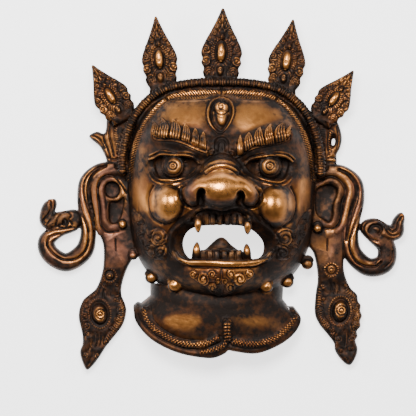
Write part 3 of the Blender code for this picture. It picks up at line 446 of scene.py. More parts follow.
class Chisel:
    """Works the front of the fused body: shaping tools add to a lift along the surface normal,
    colour tools add gold, copper and dark (patina and painted shade).
    """

    def __init__(self, shape: bpy.types.Object) -> None:
        """Reads the body's places and normals, and sorts its front from left to right."""
        self.mesh = shape.data
        self.places = values(self.mesh.vertices, "co") / MM
        self.normals = values(self.mesh.vertex_normals, "vector")
        count = len(self.places)
        front = np.flatnonzero(self.normals[:, 2] > FRONT)
        self.order = front[np.argsort(self.places[front, 0])]
        self.sorted_x = self.places[self.order, 0]
        self.lift = np.zeros(count)
        self.gold = np.zeros(count)
        # dark value: patina in grooves and hollows, and painted shade in the eyes, mouth,
        # nostrils, round the knobs and under the jaw
        self.shade_and_patina = np.zeros(count)
        self.copper = np.zeros(count)

    def pick(self, low: Sequence[float], high: Sequence[float]) -> Rows:
        """The front points inside a plan box."""
        first, last = np.searchsorted(self.sorted_x, (low[0], high[0]))
        near = self.order[first:last]
        y = self.places[near, 1]
        return near[(y > low[1]) & (y < high[1])]

    def beside(self, line: Rows, reach: float) -> Rows:
        """The front points in the plan box round a line, grown by the reach."""
        return self.pick(line.min(axis=0)[:2] - reach, line.max(axis=0)[:2] + reach)

    def near_line(self, line: Line, width: float, closed: bool
                  ) -> tuple[Rows, Rows]:
        """The front points near a line.

        Args:
            line: loose points or a drawn line.
            width: how far the points may be from it.
            closed: whether it runs back to its start.

        Returns:
            The points, and how far each is from the line.
        """
        path = drawn(line, closed)
        near = self.beside(path, width)
        return near, along(self.places[near, :2], path, closed)[0]

    def near_spot(self, middle: Sequence[float], reach: float
                  ) -> tuple[Rows, Rows]:
        """The front points round a spot, and how far each is from it."""
        spot = np.asarray(middle, float)
        near = self.pick(spot - reach, spot + reach)
        return near, np.hypot(*(self.places[near, :2] - spot).T)

    def held_in(self, outline: Line) -> tuple[Rows, Rows]:
        """The front points inside an outline, and how deep inside each is."""
        path = drawn(outline, closed=True)
        near = self.beside(path, 0.0)
        near = near[inside(self.places[near, :2], path)]
        return near, along(self.places[near, :2], path, closed=True)[0]

    def groove(self, line: Line, width: float, depth: float,
               closed: bool = False) -> None:
        """Cuts a round-bottomed groove, or raises a ridge where depth is negative."""
        near, distance = self.near_line(line, width, closed)
        self.lift[near] -= depth * swell(distance, width)

    def trace(self, kind: str, line: Line, width: float, amount: float,
              closed: bool = False) -> None:
        """Adds colour along a line.

        Args:
            kind: gold, copper, or the dark of patina and painted shade.
            line: where it runs.
            width: how far it reaches at each side.
            amount: how much is added on the line.
            closed: whether the line runs back to its start.
        """
        near, distance = self.near_line(line, width, closed)
        getattr(self, kind)[near] += amount * swell(distance, width)

    def ridge(self, line: Line, width: float, height: float,
              closed: bool = False) -> None:
        """Raises a round-topped ridge."""
        self.groove(line, width, -height, closed)

    def bead(self, middle: Sequence[float], radius: float, height: float) -> None:
        """Raises a round bead, or sinks a dot where height is negative."""
        near, distance = self.near_spot(middle, radius)
        self.lift[near] += height * np.sqrt(np.clip(1 - (distance / radius) ** 2, 0, 1))

    def beads(self, line: Line, pitch: float, radius: float, height: float,
              closed: bool = False) -> None:
        """Raises a row of beads in a sunk line.

        Args:
            line: where the row runs.
            pitch: distance from bead to bead.
            radius: radius of a bead.
            height: height of a bead.
            closed: whether the row runs back to its start.
        """
        path = smooth_line(line, 0.3, closed)
        self.groove(path, radius * 1.6, 0.45 * height, closed)
        run = np.concatenate([[0], np.cumsum(np.hypot(*np.diff(path, axis=0).T))])
        count = max(1, round(run[-1] / pitch))
        for spot in (np.arange(count) + 0.5) * run[-1] / count:
            self.bead((np.interp(spot, run, path[:, 0]), np.interp(spot, run, path[:, 1])),
                      radius, height)

    def ring(self, middle: Spot, radius: float, width: float, depth: float) -> None:
        """Cuts a round groove."""
        near, distance = self.near_spot(middle, radius + width)
        self.lift[near] -= depth * swell(np.abs(distance - radius), width)

    def panel(self, outline: Line, rise: float, edge: float) -> None:
        """Raises everything inside an outline, with a rounded edge, or sinks it."""
        near, depth_in = self.held_in(outline)
        self.lift[near] += rise * rounded(depth_in, edge)

    def comb(self, guide: Line, half_width: float, pitch: float, depth: float,
             slant: float = 0.0, outline: Plan | None = None) -> None:
        """Cuts strands across a guide line.

        Args:
            guide: line that the strands cross.
            half_width: how far the strands reach at each side.
            pitch: distance from strand to strand along the guide.
            depth: depth of the cuts between them.
            slant: how far the strands lean forward for each millimetre to the right.
            outline: keeps the strands inside this outline.
        """
        path = smooth_line(guide, LINE_STEP)
        near = self.beside(path, half_width)
        points = self.places[near, :2]
        distance, run, offset = along(points, path)
        cut = 0.5 + 0.5 * np.cos(2 * math.pi * (run + slant * offset) / pitch)
        fade = np.clip((half_width - distance) / 0.6, 0, 1)
        if outline is not None:
            fade = fade * inside(points, drawn(outline, closed=True))
        self.lift[near] -= depth * cut * fade

    def scroll(self, middle: Spot, radius: float, hand: int = 1,
               start: float = 0.0, depth: float = 0.7, turns: float = 1.4) -> None:
        """Works one curl: a raised disc with a spiral cut into it and a bead in its middle."""
        near, distance = self.near_spot(middle, radius)
        self.lift[near] += 0.6 * depth * rounded(radius - distance, 0.4 * radius)
        self.groove(spiral(middle, radius * 0.98, hand, turns, start), 0.75, depth)
        self.bead(middle, 0.3 * radius, 0.7 * depth)

    def tint(self, kind: str, middle: Spot, half: Spot,
             amount: float, turn: float = 0.0) -> None:
        """Adds a soft spot of colour.

        Args:
            kind: gold, copper, or the dark of patina and painted shade.
            middle: the spot's middle.
            half: its two half sizes.
            amount: how much is added in the middle.
            turn: its turn in plan.
        """
        near = self.near_spot(middle, max(half))[0]
        getattr(self, kind)[near] += amount * hill(self.places[near], middle, half, turn)

    def stain(self, kind: str, outline: Line, amount: float,
              edge: float = 1.0) -> None:
        """Adds gold, copper, or the dark of patina and painted shade inside an outline, softly
        from its edge inwards.
        """
        near, depth_in = self.held_in(outline)
        getattr(self, kind)[near] += amount * np.clip(depth_in / edge, 0, 1)

    def apply(self) -> None:
        """Moves the body's points by the lift along their normals."""
        self.places = self.places + self.normals * self.lift[:, None]
        flat = (self.places[:, 2] < 0.45) & (self.normals[:, 2] < -0.3)
        self.places[flat, 2] = 0.0
        self.places[:, 2] = np.maximum(self.places[:, 2], 0.0)
        self.mesh.vertices.foreach_set("co", (self.places * MM).ravel())
        self.mesh.update()

    def read_tones(self) -> dict[str, Rows]:
        """How sunk or raised each point is, at three scales, from smoothed copies of the body."""
        count = len(self.places)
        a, b = values(self.mesh.edges, "vertices", 2, int).T
        ends = np.concatenate([a, b])
        others = np.concatenate([b, a])
        degree = np.maximum(np.bincount(ends, minlength=count), 1)
        normals = values(self.mesh.vertex_normals, "vector")
        moved = self.places.copy()
        tones = {}
        done = 0
        for name, rounds in (("fine", 3), ("middle", 14), ("broad", 60)):
            while done < rounds:
                moved = np.column_stack([np.bincount(ends, moved[others, k], count) / degree
                                         for k in range(3)])
                done += 1
            tones[name] = ((moved - self.places) * normals).sum(axis=1)
        return tones


# Head and face


@dataclass
class Head:
    """The hollow head: a dome with the big forms of the face on it."""

    middle: Spot = (0, -2)
    rise: float = 56.0
    wall: float = 4.0
    edge_power: float = 3.2
    front_power: float = 2.2
    spokes: int = 360
    rings: int = 190
    brow_rise: float = 6.5
    socket_depth: float = 7.0
    cheek_rise: float = 13.5
    muzzle_rise: float = 8.5
    chin_rise: float = 9.5
    funnel_depth: float = 9.5
    band_height: float = 21.0
    bridge_rise: float = 18.0
    nostril_depth: float = 16.0
    cheeks: tuple = (((-41.2, -10.8), (13.4, 14.6), -0.25), ((41.2, -12.6), (14.2, 15.6), 0.25))
    nose_forms: tuple = ((23, (-12.6, 2.4), (14, 8.6), 0.38), (23, (12.8, 2.0), (14, 8.6), -0.40),
        (19, (-21.4, -4.0), (7.2, 8.4), 0.0), (19, (21.2, -4.4), (6.8, 8.2), 0.0),
        (27, (-0.8, -0.2), (15.4, 12.6), 0.0))
    nose_round: float = 11.5
    nostrils: tuple = ((((-14.8, -1.8), (-15.6, -4.5), (-15.4, -8.4)), 3.3),
        (((14, -3.2), (14.8, -5.4), (13.2, -9)), 2.9))
    edge: Plan = ((0, 80.5), (28, 79), (47, 72), (61.5, 58), (69, 39), (71.5, 18), (70, -5),
        (68.5, -28), (64, -47), (54.5, -63), (40, -75.5), (20, -83), (0, -85))
    brow: Plan = ((11, 31), (20, 33), (30, 38), (41, 41.5), (51, 43))
    fringe: Plan = ((0.5, 72), (14, 71), (28, 70), (40, 68), (50, 61), (58, 49.5), (63, 37),
        (67.5, 22), (69, 8))
    band: Plan = ((-74, 14), (-73.5, 27), (-70.5, 41), (-65, 54), (-57, 64.5), (-46, 73),
        (-33, 77.5), (-17, 79.8), (0, 80.2), (17, 79.6), (33, 77.3), (46, 72.8), (57, 64.5),
        (65, 54), (70.5, 41), (73.5, 27), (74, 12))
    lips: Plan = ((-38, -41), (-36, -31), (-27, -23), (-17, -14.5), (-8, -12.5), (0, -14.5),
        (9, -12.5), (18, -15), (28, -24), (38, -32), (40.5, -41), (37, -50), (27, -55),
        (10, -55.5), (-8, -55.5), (-25, -54.5), (-34.5, -50))
    opening: Plan = ((-28.8, -41), (-26.5, -33), (-20, -28.2), (-8, -26.6), (10, -26.6),
        (21, -29.2), (29, -36), (31.5, -43), (29, -50), (20, -52), (-18, -52), (-26, -49))

    def outline(self) -> Rows:
        """The closed outer edge of the head in plan."""
        left = [(-x, y) for x, y in self.edge[-2:0:-1]]
        return smooth_line(list(self.edge) + left, 1.0, closed=True)

    def reach(self, angles: Rows) -> Rows:
        """How far the edge is from the head's middle at each angle."""
        offset = self.outline() - np.array(self.middle)
        turns = np.arctan2(offset[:, 1], offset[:, 0])
        order = np.argsort(turns)
        return np.interp(angles, turns[order], np.hypot(*offset.T)[order], period=2 * math.pi)

    def dome(self, points: Rows, shrink: float = 0.0) -> Rows:
        """Height of the plain dome, or of its hollow where shrink is the wall."""
        offset = points[:, :2] - np.array(self.middle)
        reach = self.reach(np.arctan2(offset[:, 1], offset[:, 0])) - shrink
        share = np.hypot(offset[:, 0], offset[:, 1]) / reach
        return (self.rise - shrink) * np.clip(1 - share**self.edge_power, 0, 1) ** (
            1 / self.front_power)

    def soft_forms(self, points: Rows, base: Rows) -> Rows:
        """Rise of the soft forms that the face and its hollow both follow."""
        folded = fold(points)
        z = self.brow_rise * swell(along(folded, smooth_line(self.brow))[0], 11)
        z += self.muzzle_rise * hill(points, (0, -16), (33, 15))
        chin = self.chin_rise * hill(points, (0, -68), (38, 15))
        z += chin * np.clip(2 * base / self.rise, 0, 1)
        return z - self.socket_depth * hill(folded, (35, 16), (22, 12.5))

    def funnel(self, points: Rows) -> Rows:
        """How far the skin dips inside the lips."""
        lips = smooth_line(self.lips, closed=True)
        dip = 1 - swell(along(points, lips, closed=True)[0], 9)
        return np.where(inside(points, lips), self.funnel_depth * dip, 0)

    def face(self, points: Rows) -> Rows:
        """Height of the face over plan points."""
        folded = fold(points)
        base = self.dome(points)
        z = base + self.soft_forms(points, base)
        fringe = along(folded, smooth_line(self.fringe))[0]
        band = along(points, smooth_line(self.band))[0]
        outer = (fringe > 0.4 * band) & (band < 9) & (points[:, 1] > 10)
        z = np.where(outer, np.minimum(z, self.band_height), z)
        z -= self.funnel(points)
        for middle, half, turn in self.cheeks:
            z = smooth_union(z, base + self.cheek_rise * bulge(points, middle, half, turn), 2.2)
        nose = base + self.bridge_rise * bulge(folded, (0, 11), (15, 15))
        for rise, middle, half, turn in self.nose_forms:
            form = bulge(points, middle, half, turn, 2.6) - 1
            nose = smooth_union(nose, base + rise + self.nose_round * form, 6.0)
        plain = z
        z = smooth_union(z, nose, 2.6)
        for line, width in self.nostrils:
            distance = along(points, smooth_line(line))[0]
            cut = self.nostril_depth * swell(distance, width) ** 0.5
            z = np.maximum(z - cut, np.minimum(z, plain))
        for side in Side:
            eye = cap(points, (side.value * 36.2, 17.5), (9.6, 9.6))
            z = np.where(eye > 0, np.maximum(z, base - self.socket_depth + 10 * eye), z)
        return z

    def hollow(self, points: Rows) -> Rows:
        """Height of the hollow behind the face."""
        z = self.dome(points, self.wall)
        folded = fold(points)
        z += self.soft_forms(points, z)
        z += 19.8 * hill(points, (0, 7), (15, 10.5))
        z += 0.7 * self.cheek_rise * hill(folded, (41.5, -11.5), (13.8, 15), 0.25)
        return z - self.funnel(points)

    def on_face(self, line: Line, lift: float = 0.0) -> Rows:
        """Plan rows with the height of the face added."""
        line = np.atleast_2d(np.asarray(line, float))
        return np.column_stack([line[:, :2], self.face(line) + lift])

    def profile(self, rings: int) -> tuple[Rows, Rows]:
        """Shares of the reach and of the rise from the rim to the front, evenly spaced."""
        turn = math.pi / 2 * np.linspace(1, 0.0006, 900) ** 2
        out = np.sin(turn) ** (2 / self.edge_power)
        up = np.cos(turn) ** (2 / self.front_power)
        steps = np.hypot(np.diff(out) * 72, np.diff(up) * self.rise)
        run = np.concatenate([[0], np.cumsum(steps)])
        even = np.linspace(0, run[-1], rings)
        return np.interp(even, run, out), np.interp(even, run, up)

    def model(self, clay: Clay) -> None:
        """Builds the shell with its mouth cut through."""
        angles = np.arange(self.spokes) * 2 * math.pi / self.spokes
        spokes = np.column_stack([np.cos(angles), np.sin(angles)])
        reach = self.reach(angles)[:, None]
        rings = []
        for shrink, height, count in ((0.0, self.face, self.rings),
                                      (self.wall, self.hollow, self.rings // 3)):
            skin = []
            for out, up in zip(*self.profile(count)):
                places = np.array(self.middle) + spokes * (reach - shrink) * out
                plain = np.full(len(places), up * (self.rise - shrink))
                skin.append(np.column_stack([places, height(places) if up > 0.35 else plain]))
            rings += skin[::-1] if shrink == 0 else skin
        shell = Clay()
        shell.skin(rings)
        body = shell.shape("head_shell")
        cutter = Clay()
        hole = smooth_line(self.opening, closed=True)
        cutter.skin([np.column_stack([hole, np.full(len(hole), z)]) for z in (-20.0, 120.0)])
        knife = cutter.shape("mouth_cutter")
        select(body)
        cut = body.modifiers.new("mouth", "BOOLEAN")
        cut.operation = "DIFFERENCE"
        cut.object = knife
        bpy.ops.object.modifier_apply(modifier=cut.name)
        bpy.data.objects.remove(knife)
        clay.add_object(body)


@dataclass
class Eye:
    """One eye with its lids."""

    head: Head
    middle: Spot
    upper: Plan
    crest: Plan
    lower: Plan
    under: Plan
    opening: Plan
    ball: float = 9.6
    rings: tuple = ((7.1, 0.85, 1.0), (3.15, 0.95, 1.3), (1.25, 0.6, 0.7))

    def model(self, clay: Clay) -> None:
        """Adds the lids."""
        for line, radius, lift in ((self.upper, 1.9, 1.6), (self.crest, 0.9, 0.5),
                (self.lower, 1.0, 0.5), (self.under, 0.9, 0.0)):
            path = smooth_line(line)
            share = np.sin(np.linspace(0.15, math.pi - 0.15, len(path))) ** 0.5
            clay.rod(self.head.on_face(path, lift), radius * share)

    def chase(self, chisel: Chisel) -> None:
        """Sinks the opening, and cuts the rings and the lines between the lids."""
        kept = spread(chisel.places, self.middle, (self.ball, self.ball)) < 1
        lift, shade_and_patina = chisel.lift.copy(), chisel.shade_and_patina.copy()
        chisel.panel(self.opening, -3.0, 1.2)
        # painted shade: the sunk opening round the ball is darkened, along with its patina
        chisel.stain("shade_and_patina", self.opening, 0.9, 0.8)
        chisel.lift = np.where(kept, lift, chisel.lift)
        chisel.shade_and_patina = np.where(kept, shade_and_patina, chisel.shade_and_patina)
        chisel.groove(ellipse(self.middle, (self.ball, self.ball), 0, -3.5, 0.35), 1.0, 1.2)
        for radius, width, depth in self.rings:
            chisel.ring(self.middle, radius, width, depth)
            chisel.trace("shade_and_patina", ellipse(self.middle, (radius, radius)), width, 1.8 * depth)
        chisel.bead(self.middle, 0.8, 0.5)
        gap = [((a + c) / 2, (b + d) / 2) for (a, b), (c, d) in zip(self.upper, self.crest)]
        chisel.groove(gap, 0.8, 1.1)
        gap = [((a + c) / 2, (b + d) / 2) for (a, b), (c, d) in zip(self.lower, self.under)]
        chisel.groove(gap, 0.8, 0.9)
        chisel.ridge(self.upper, 1.0, 0.6)
        for line, amount in ((self.upper, 0.45), (self.crest, 0.3), (self.lower, 0.1)):
            chisel.trace("gold", line, 1.2, amount)
        chisel.tint("gold", self.middle, (9.0, 9.0), 0.9)
        # painted shade round the eye and in its socket, with darker patina
        chisel.tint("shade_and_patina", self.middle, (27, 17), 0.6)


def make_eyes(head: Head) -> list[Eye]:
    """Both eyes; the lids of the two sides aren't alike."""
    return [
        Eye(head, (-36.3, 17.6),
            ((-54, 22.6), (-50, 23.8), (-46, 26), (-41, 26.2), (-35, 25.6), (-28, 25.8),
            (-23, 24.8), (-19.5, 23), (-16.6, 19)),
            ((-54, 25.4), (-51, 26.7), (-47, 28.6), (-43.5, 29), (-38, 28), (-32, 27.7),
            (-26, 27.8), (-22, 27), (-18.5, 24.8)),
            ((-51.5, 13), (-49.5, 9.2), (-45, 7.2), (-40, 6.9), (-34, 7.0), (-28, 8.5), (-23, 11),
            (-17.2, 17)),
            ((-54.5, 13), (-51.5, 7.5), (-46.5, 4.6), (-40, 3.6), (-33, 4.3), (-26, 6.4),
            (-20.5, 9.2), (-13, 15)),
            ((-50.5, 20.5), (-47, 24.9), (-41, 24.9), (-35, 23.8), (-28, 24.3), (-23, 23.4),
            (-18, 18.6), (-20, 14.4), (-26, 10.2), (-34, 8.5), (-41, 8.2), (-46, 9), (-49, 13))),
        Eye(head, (36.2, 17.3),
            ((17.6, 18.5), (20, 21.8), (25, 23.7), (31, 24.6), (38, 25.5), (44, 25.6),
            (48.5, 24.3), (53, 20.8)),
            ((17, 22.5), (20.5, 25), (26, 26.6), (32, 27.6), (38.5, 27.8), (45, 27.8),
            (50.5, 26.2), (55, 22.5)),
            ((17.4, 17), (20.5, 12.8), (25, 10), (30, 7.8), (36, 6.1), (42, 5.3), (46.5, 6.8),
            (50, 11)),
            ((13, 15), (17, 11.2), (23, 7.6), (30, 4.8), (37, 3.2), (43, 2.6), (49, 4.6),
            (53.5, 10)),
            ((19, 18.4), (22, 21.5), (28, 22.9), (34, 23.4), (40, 23.9), (46, 23.6), (50.5, 20.6),
            (49.5, 14), (46, 8.3), (41, 7.2), (35, 7.8), (29, 9.3), (24, 11.8), (20.5, 14.8)))]


@dataclass
class Brow:
    """One brow: flame locks of hair that stand on a double rim."""

    head: Head
    rim: Plan
    locks: tuple
    strands: int = 4

    def feet(self, x: Rows) -> Rows:
        """Plan places on the rim at the given x."""
        line = np.array(sorted(map(tuple, smooth_line(self.rim, 0.5)[:, :2])))
        return np.column_stack([x, np.interp(x, line[:, 0], line[:, 1])])

    def strand(self, lock: tuple[float, float, float, float], share: float) -> Rows:
        """One strand of a lock, from the rim to the tip: upright first, then bent over."""
        first, last, x, y = lock
        foot = self.feet(np.array([first + (last - first) * share]))[0] + (0, 0.9)
        lean = share - 0.5
        tip = np.array((x + 0.5 * lean, y - 1.2 * abs(lean)))
        return smooth_line([foot + (tip - foot) * (across, up)
                            for across, up in ((0, 0), (0.0, 0.28), (0.08, 0.5), (0.38, 0.76),
                                               (1, 1))], 0.6)

    def chase(self, chisel: Chisel) -> None:
        """Raises each lock and works its strands, and cuts the double rim."""
        tops = [(self.strand(lock, 0.5)[-1] + 2 * self.strand(lock, 0.5)[0]) / 3
                for lock in self.locks]
        hair = np.vstack([self.feet(np.array([lock[0], lock[1]])) for lock in self.locks])
        hair = np.vstack([hair, tops[::-1]])
        chisel.panel(hair, 1.3, 0.8)
        chisel.stain("shade_and_patina", hair, 0.35, 0.4)
        for lock in self.locks:
            left, right = self.strand(lock, -0.05), self.strand(lock, 1.05)
            shape = np.vstack([left, right[::-1]])
            chisel.panel(shape, 2.2, 0.9)
            chisel.stain("shade_and_patina", shape, 0.45, 0.6)
            chisel.groove(left, 0.8, 1.5)
            chisel.groove(right, 0.8, 1.5)
            for share in (np.arange(self.strands) + 0.5) / self.strands:
                strand = self.strand(lock, share)[:-1]
                chisel.ridge(strand, 0.62, 1.2)
                chisel.trace("gold", strand, 0.7, 1.25)
        for drop, width, depth in ((0.3, 0.8, 1.2), (2.6, 0.9, 1.1)):
            chisel.groove([(x, y - drop) for x, y in self.rim], width, depth)
        chisel.ridge([(x, y - 1.4) for x, y in self.rim], 0.8, 1.0)


def make_brows(head: Head) -> list[Brow]:
    """Both brows; each row of the locks is two feet and the tip."""
    return [
        Brow(head,
            ((-51.5, 47), (-51, 41), (-48, 38.6), (-43, 38.2), (-36, 37.9), (-30, 36.4), (-24, 34),
            (-18, 31.2), (-11.5, 29)),
            ((-51, -45.8, -50.8, 50.6), (-45.6, -38.6, -43.8, 52.4), (-37.8, -30.2, -35.6, 52.2),
            (-29.4, -23.4, -27.2, 49), (-22.4, -17.0, -19.8, 45.4), (-16.4, -11.4, -13.6, 43))),
        Brow(head,
            ((10.5, 25), (15, 27), (20, 30.3), (25, 32.5), (32, 33.6), (38, 35), (45, 36.6),
            (50.5, 39.5), (51.5, 45)),
            ((11.6, 15.8, 14.3, 39.6), (16.6, 23.6, 21, 41.8), (24.2, 30.8, 29, 45.6),
            (31.4, 37.6, 36.8, 48), (38.4, 46.4, 46.2, 49.6), (46.8, 51.4, 51, 47.6)))]


@dataclass
class ThirdEye:
    """The upright eye on the forehead and the small figure between the brows."""

    head: Head
    frame: Plan = ((0, 69), (-6.5, 66.5), (-10, 59), (-9, 50), (-3.5, 43), (0.5, 42.3), (6, 49),
        (9, 58), (6.5, 66))

    def model(self, clay: Clay) -> None:
        """Adds the rim, the ball and the cup below it."""
        rim = smooth_line(self.frame, closed=True)
        rim = np.vstack([rim, rim[:1]])
        clay.rod(self.head.on_face(rim, 0.2), 1.0)
        clay.ball(self.head.on_face([(0, 60.3)])[0], (6.2, 6.4, 5.2))
        clay.rod(self.head.on_face([(0, 57), (0, 54), (0, 51), (0.2, 49)], 1.2),
                 np.array([4.6, 4.2, 3.4, 2.4]), flat=0.8)

    def chase(self, chisel: Chisel) -> None:
        """Cuts the double rim, the spiral, the lid line and the figure between the brows."""
        inner = [(0.9 * x * 0.82, 56 + (y - 56) * 0.84) for x, y in self.frame]
        chisel.groove([(1.14 * x, 56 + (y - 56) * 1.10) for x, y in self.frame], 0.9, 1.0,
                      closed=True)
        chisel.groove(inner, 1.5, 1.5, closed=True)
        chisel.tint("shade_and_patina", (0, 56), (14, 19), 0.55)
        chisel.tint("gold", (0, 59.5), (7, 8), 1.0)
        chisel.tint("gold", (0, 52), (4.4, 6), 0.7)
        chisel.groove(spiral((0, 61.8), 3.3, 1, 1.3, 0.6), 0.75, 1.0)
        chisel.bead((0, 61.8), 0.9, 0.6)
        chisel.groove([(-6, 58.6), (-3, 56.4), (0, 55.7), (3, 56.4), (6, 58.6)], 0.85, 1.1)
        chisel.groove([(-3.6, 55), (0, 54), (3.6, 55)], 0.6, 0.4)
        outer = [(-8.3, 26.2), (-6.4, 29), (-6.6, 34), (-4, 38.4), (0, 40), (4, 38.4), (6.6, 34),
            (6.4, 29), (8.3, 26.2)]
        chisel.ridge(outer, 1.1, 1.3)
        chisel.groove([(0.72 * x, 0.9 * (y - 27) + 26.6) for x, y in outer], 0.9, 0.6)
        chisel.ridge([(-3, 29), (-3.2, 33), (0, 36.2), (3.2, 33), (3, 29)], 0.9, 1.0)
        chisel.ridge([(0, 29), (0, 34)], 0.8, 0.8)
        for x, y, hand in ((-7.6, 27.3, 1), (7.5, 26.9, -1)):
            chisel.scroll((x, y), 2.5, hand, 1.5, 1.0)
        for x in (-11.5, 11.5):
            chisel.ridge([(x * 0.9, 25), (x, 30), (x * 0.86, 36)], 1.0, 0.7)


@dataclass
class Nose:
    """Wrinkles over the nose and the grooves round its wings."""

    wrinkles: tuple = (((-12, 11.2), (-7, 14.4), (0, 16.2), (7, 14.7), (12, 11.2)), ((-13.8, 13.5),
        (-8, 17.4), (0, 19.6), (8, 17.6), (13.4, 13.5)), ((-16, 12.5), (-9, 21), (0, 24.3),
        (9, 21), (16, 12.5)))
    wings: tuple = (((-27, 3.5), (-30, 1), (-30.6, -5), (-27.4, -10.8), (-22, -13.6), (-17, -12)),
        ((26, 1.5), (28.6, -2.5), (29, -7.5), (25.4, -12.6), (20, -14), (15, -12.4)))
    cheek_lines: tuple = (((-51, 3), (-54.6, -4), (-54.8, -13), (-51.5, -21), (-45, -25.5)),
        ((52, 2), (55.8, -6), (56, -15), (52.8, -23), (46, -28)))

    def chase(self, chisel: Chisel) -> None:
        """Cuts the wrinkles and the grooves round the wings and cheeks."""
        for line in self.wrinkles:
            chisel.groove(line, 1.0, 1.2)
            chisel.ridge([(x, y + 1.8) for x, y in line], 1.2, 0.8)
        for line in self.wings:
            chisel.groove(line, 1.4, 1.6)
            chisel.ridge([(1.09 * x, y - 0.6) for x, y in line[:5]], 0.9, 0.7)
        for line in self.cheek_lines:
            chisel.groove(line, 1.4, 1.5)
        # painted shade inside the nostrils, with their dark patina
        for x, y, half in ((-14.8, -4.0, (4.4, 6.0)), (13.7, -4.8, (3.8, 5.4))):
            chisel.tint("shade_and_patina", (x, y), half, 1.4)


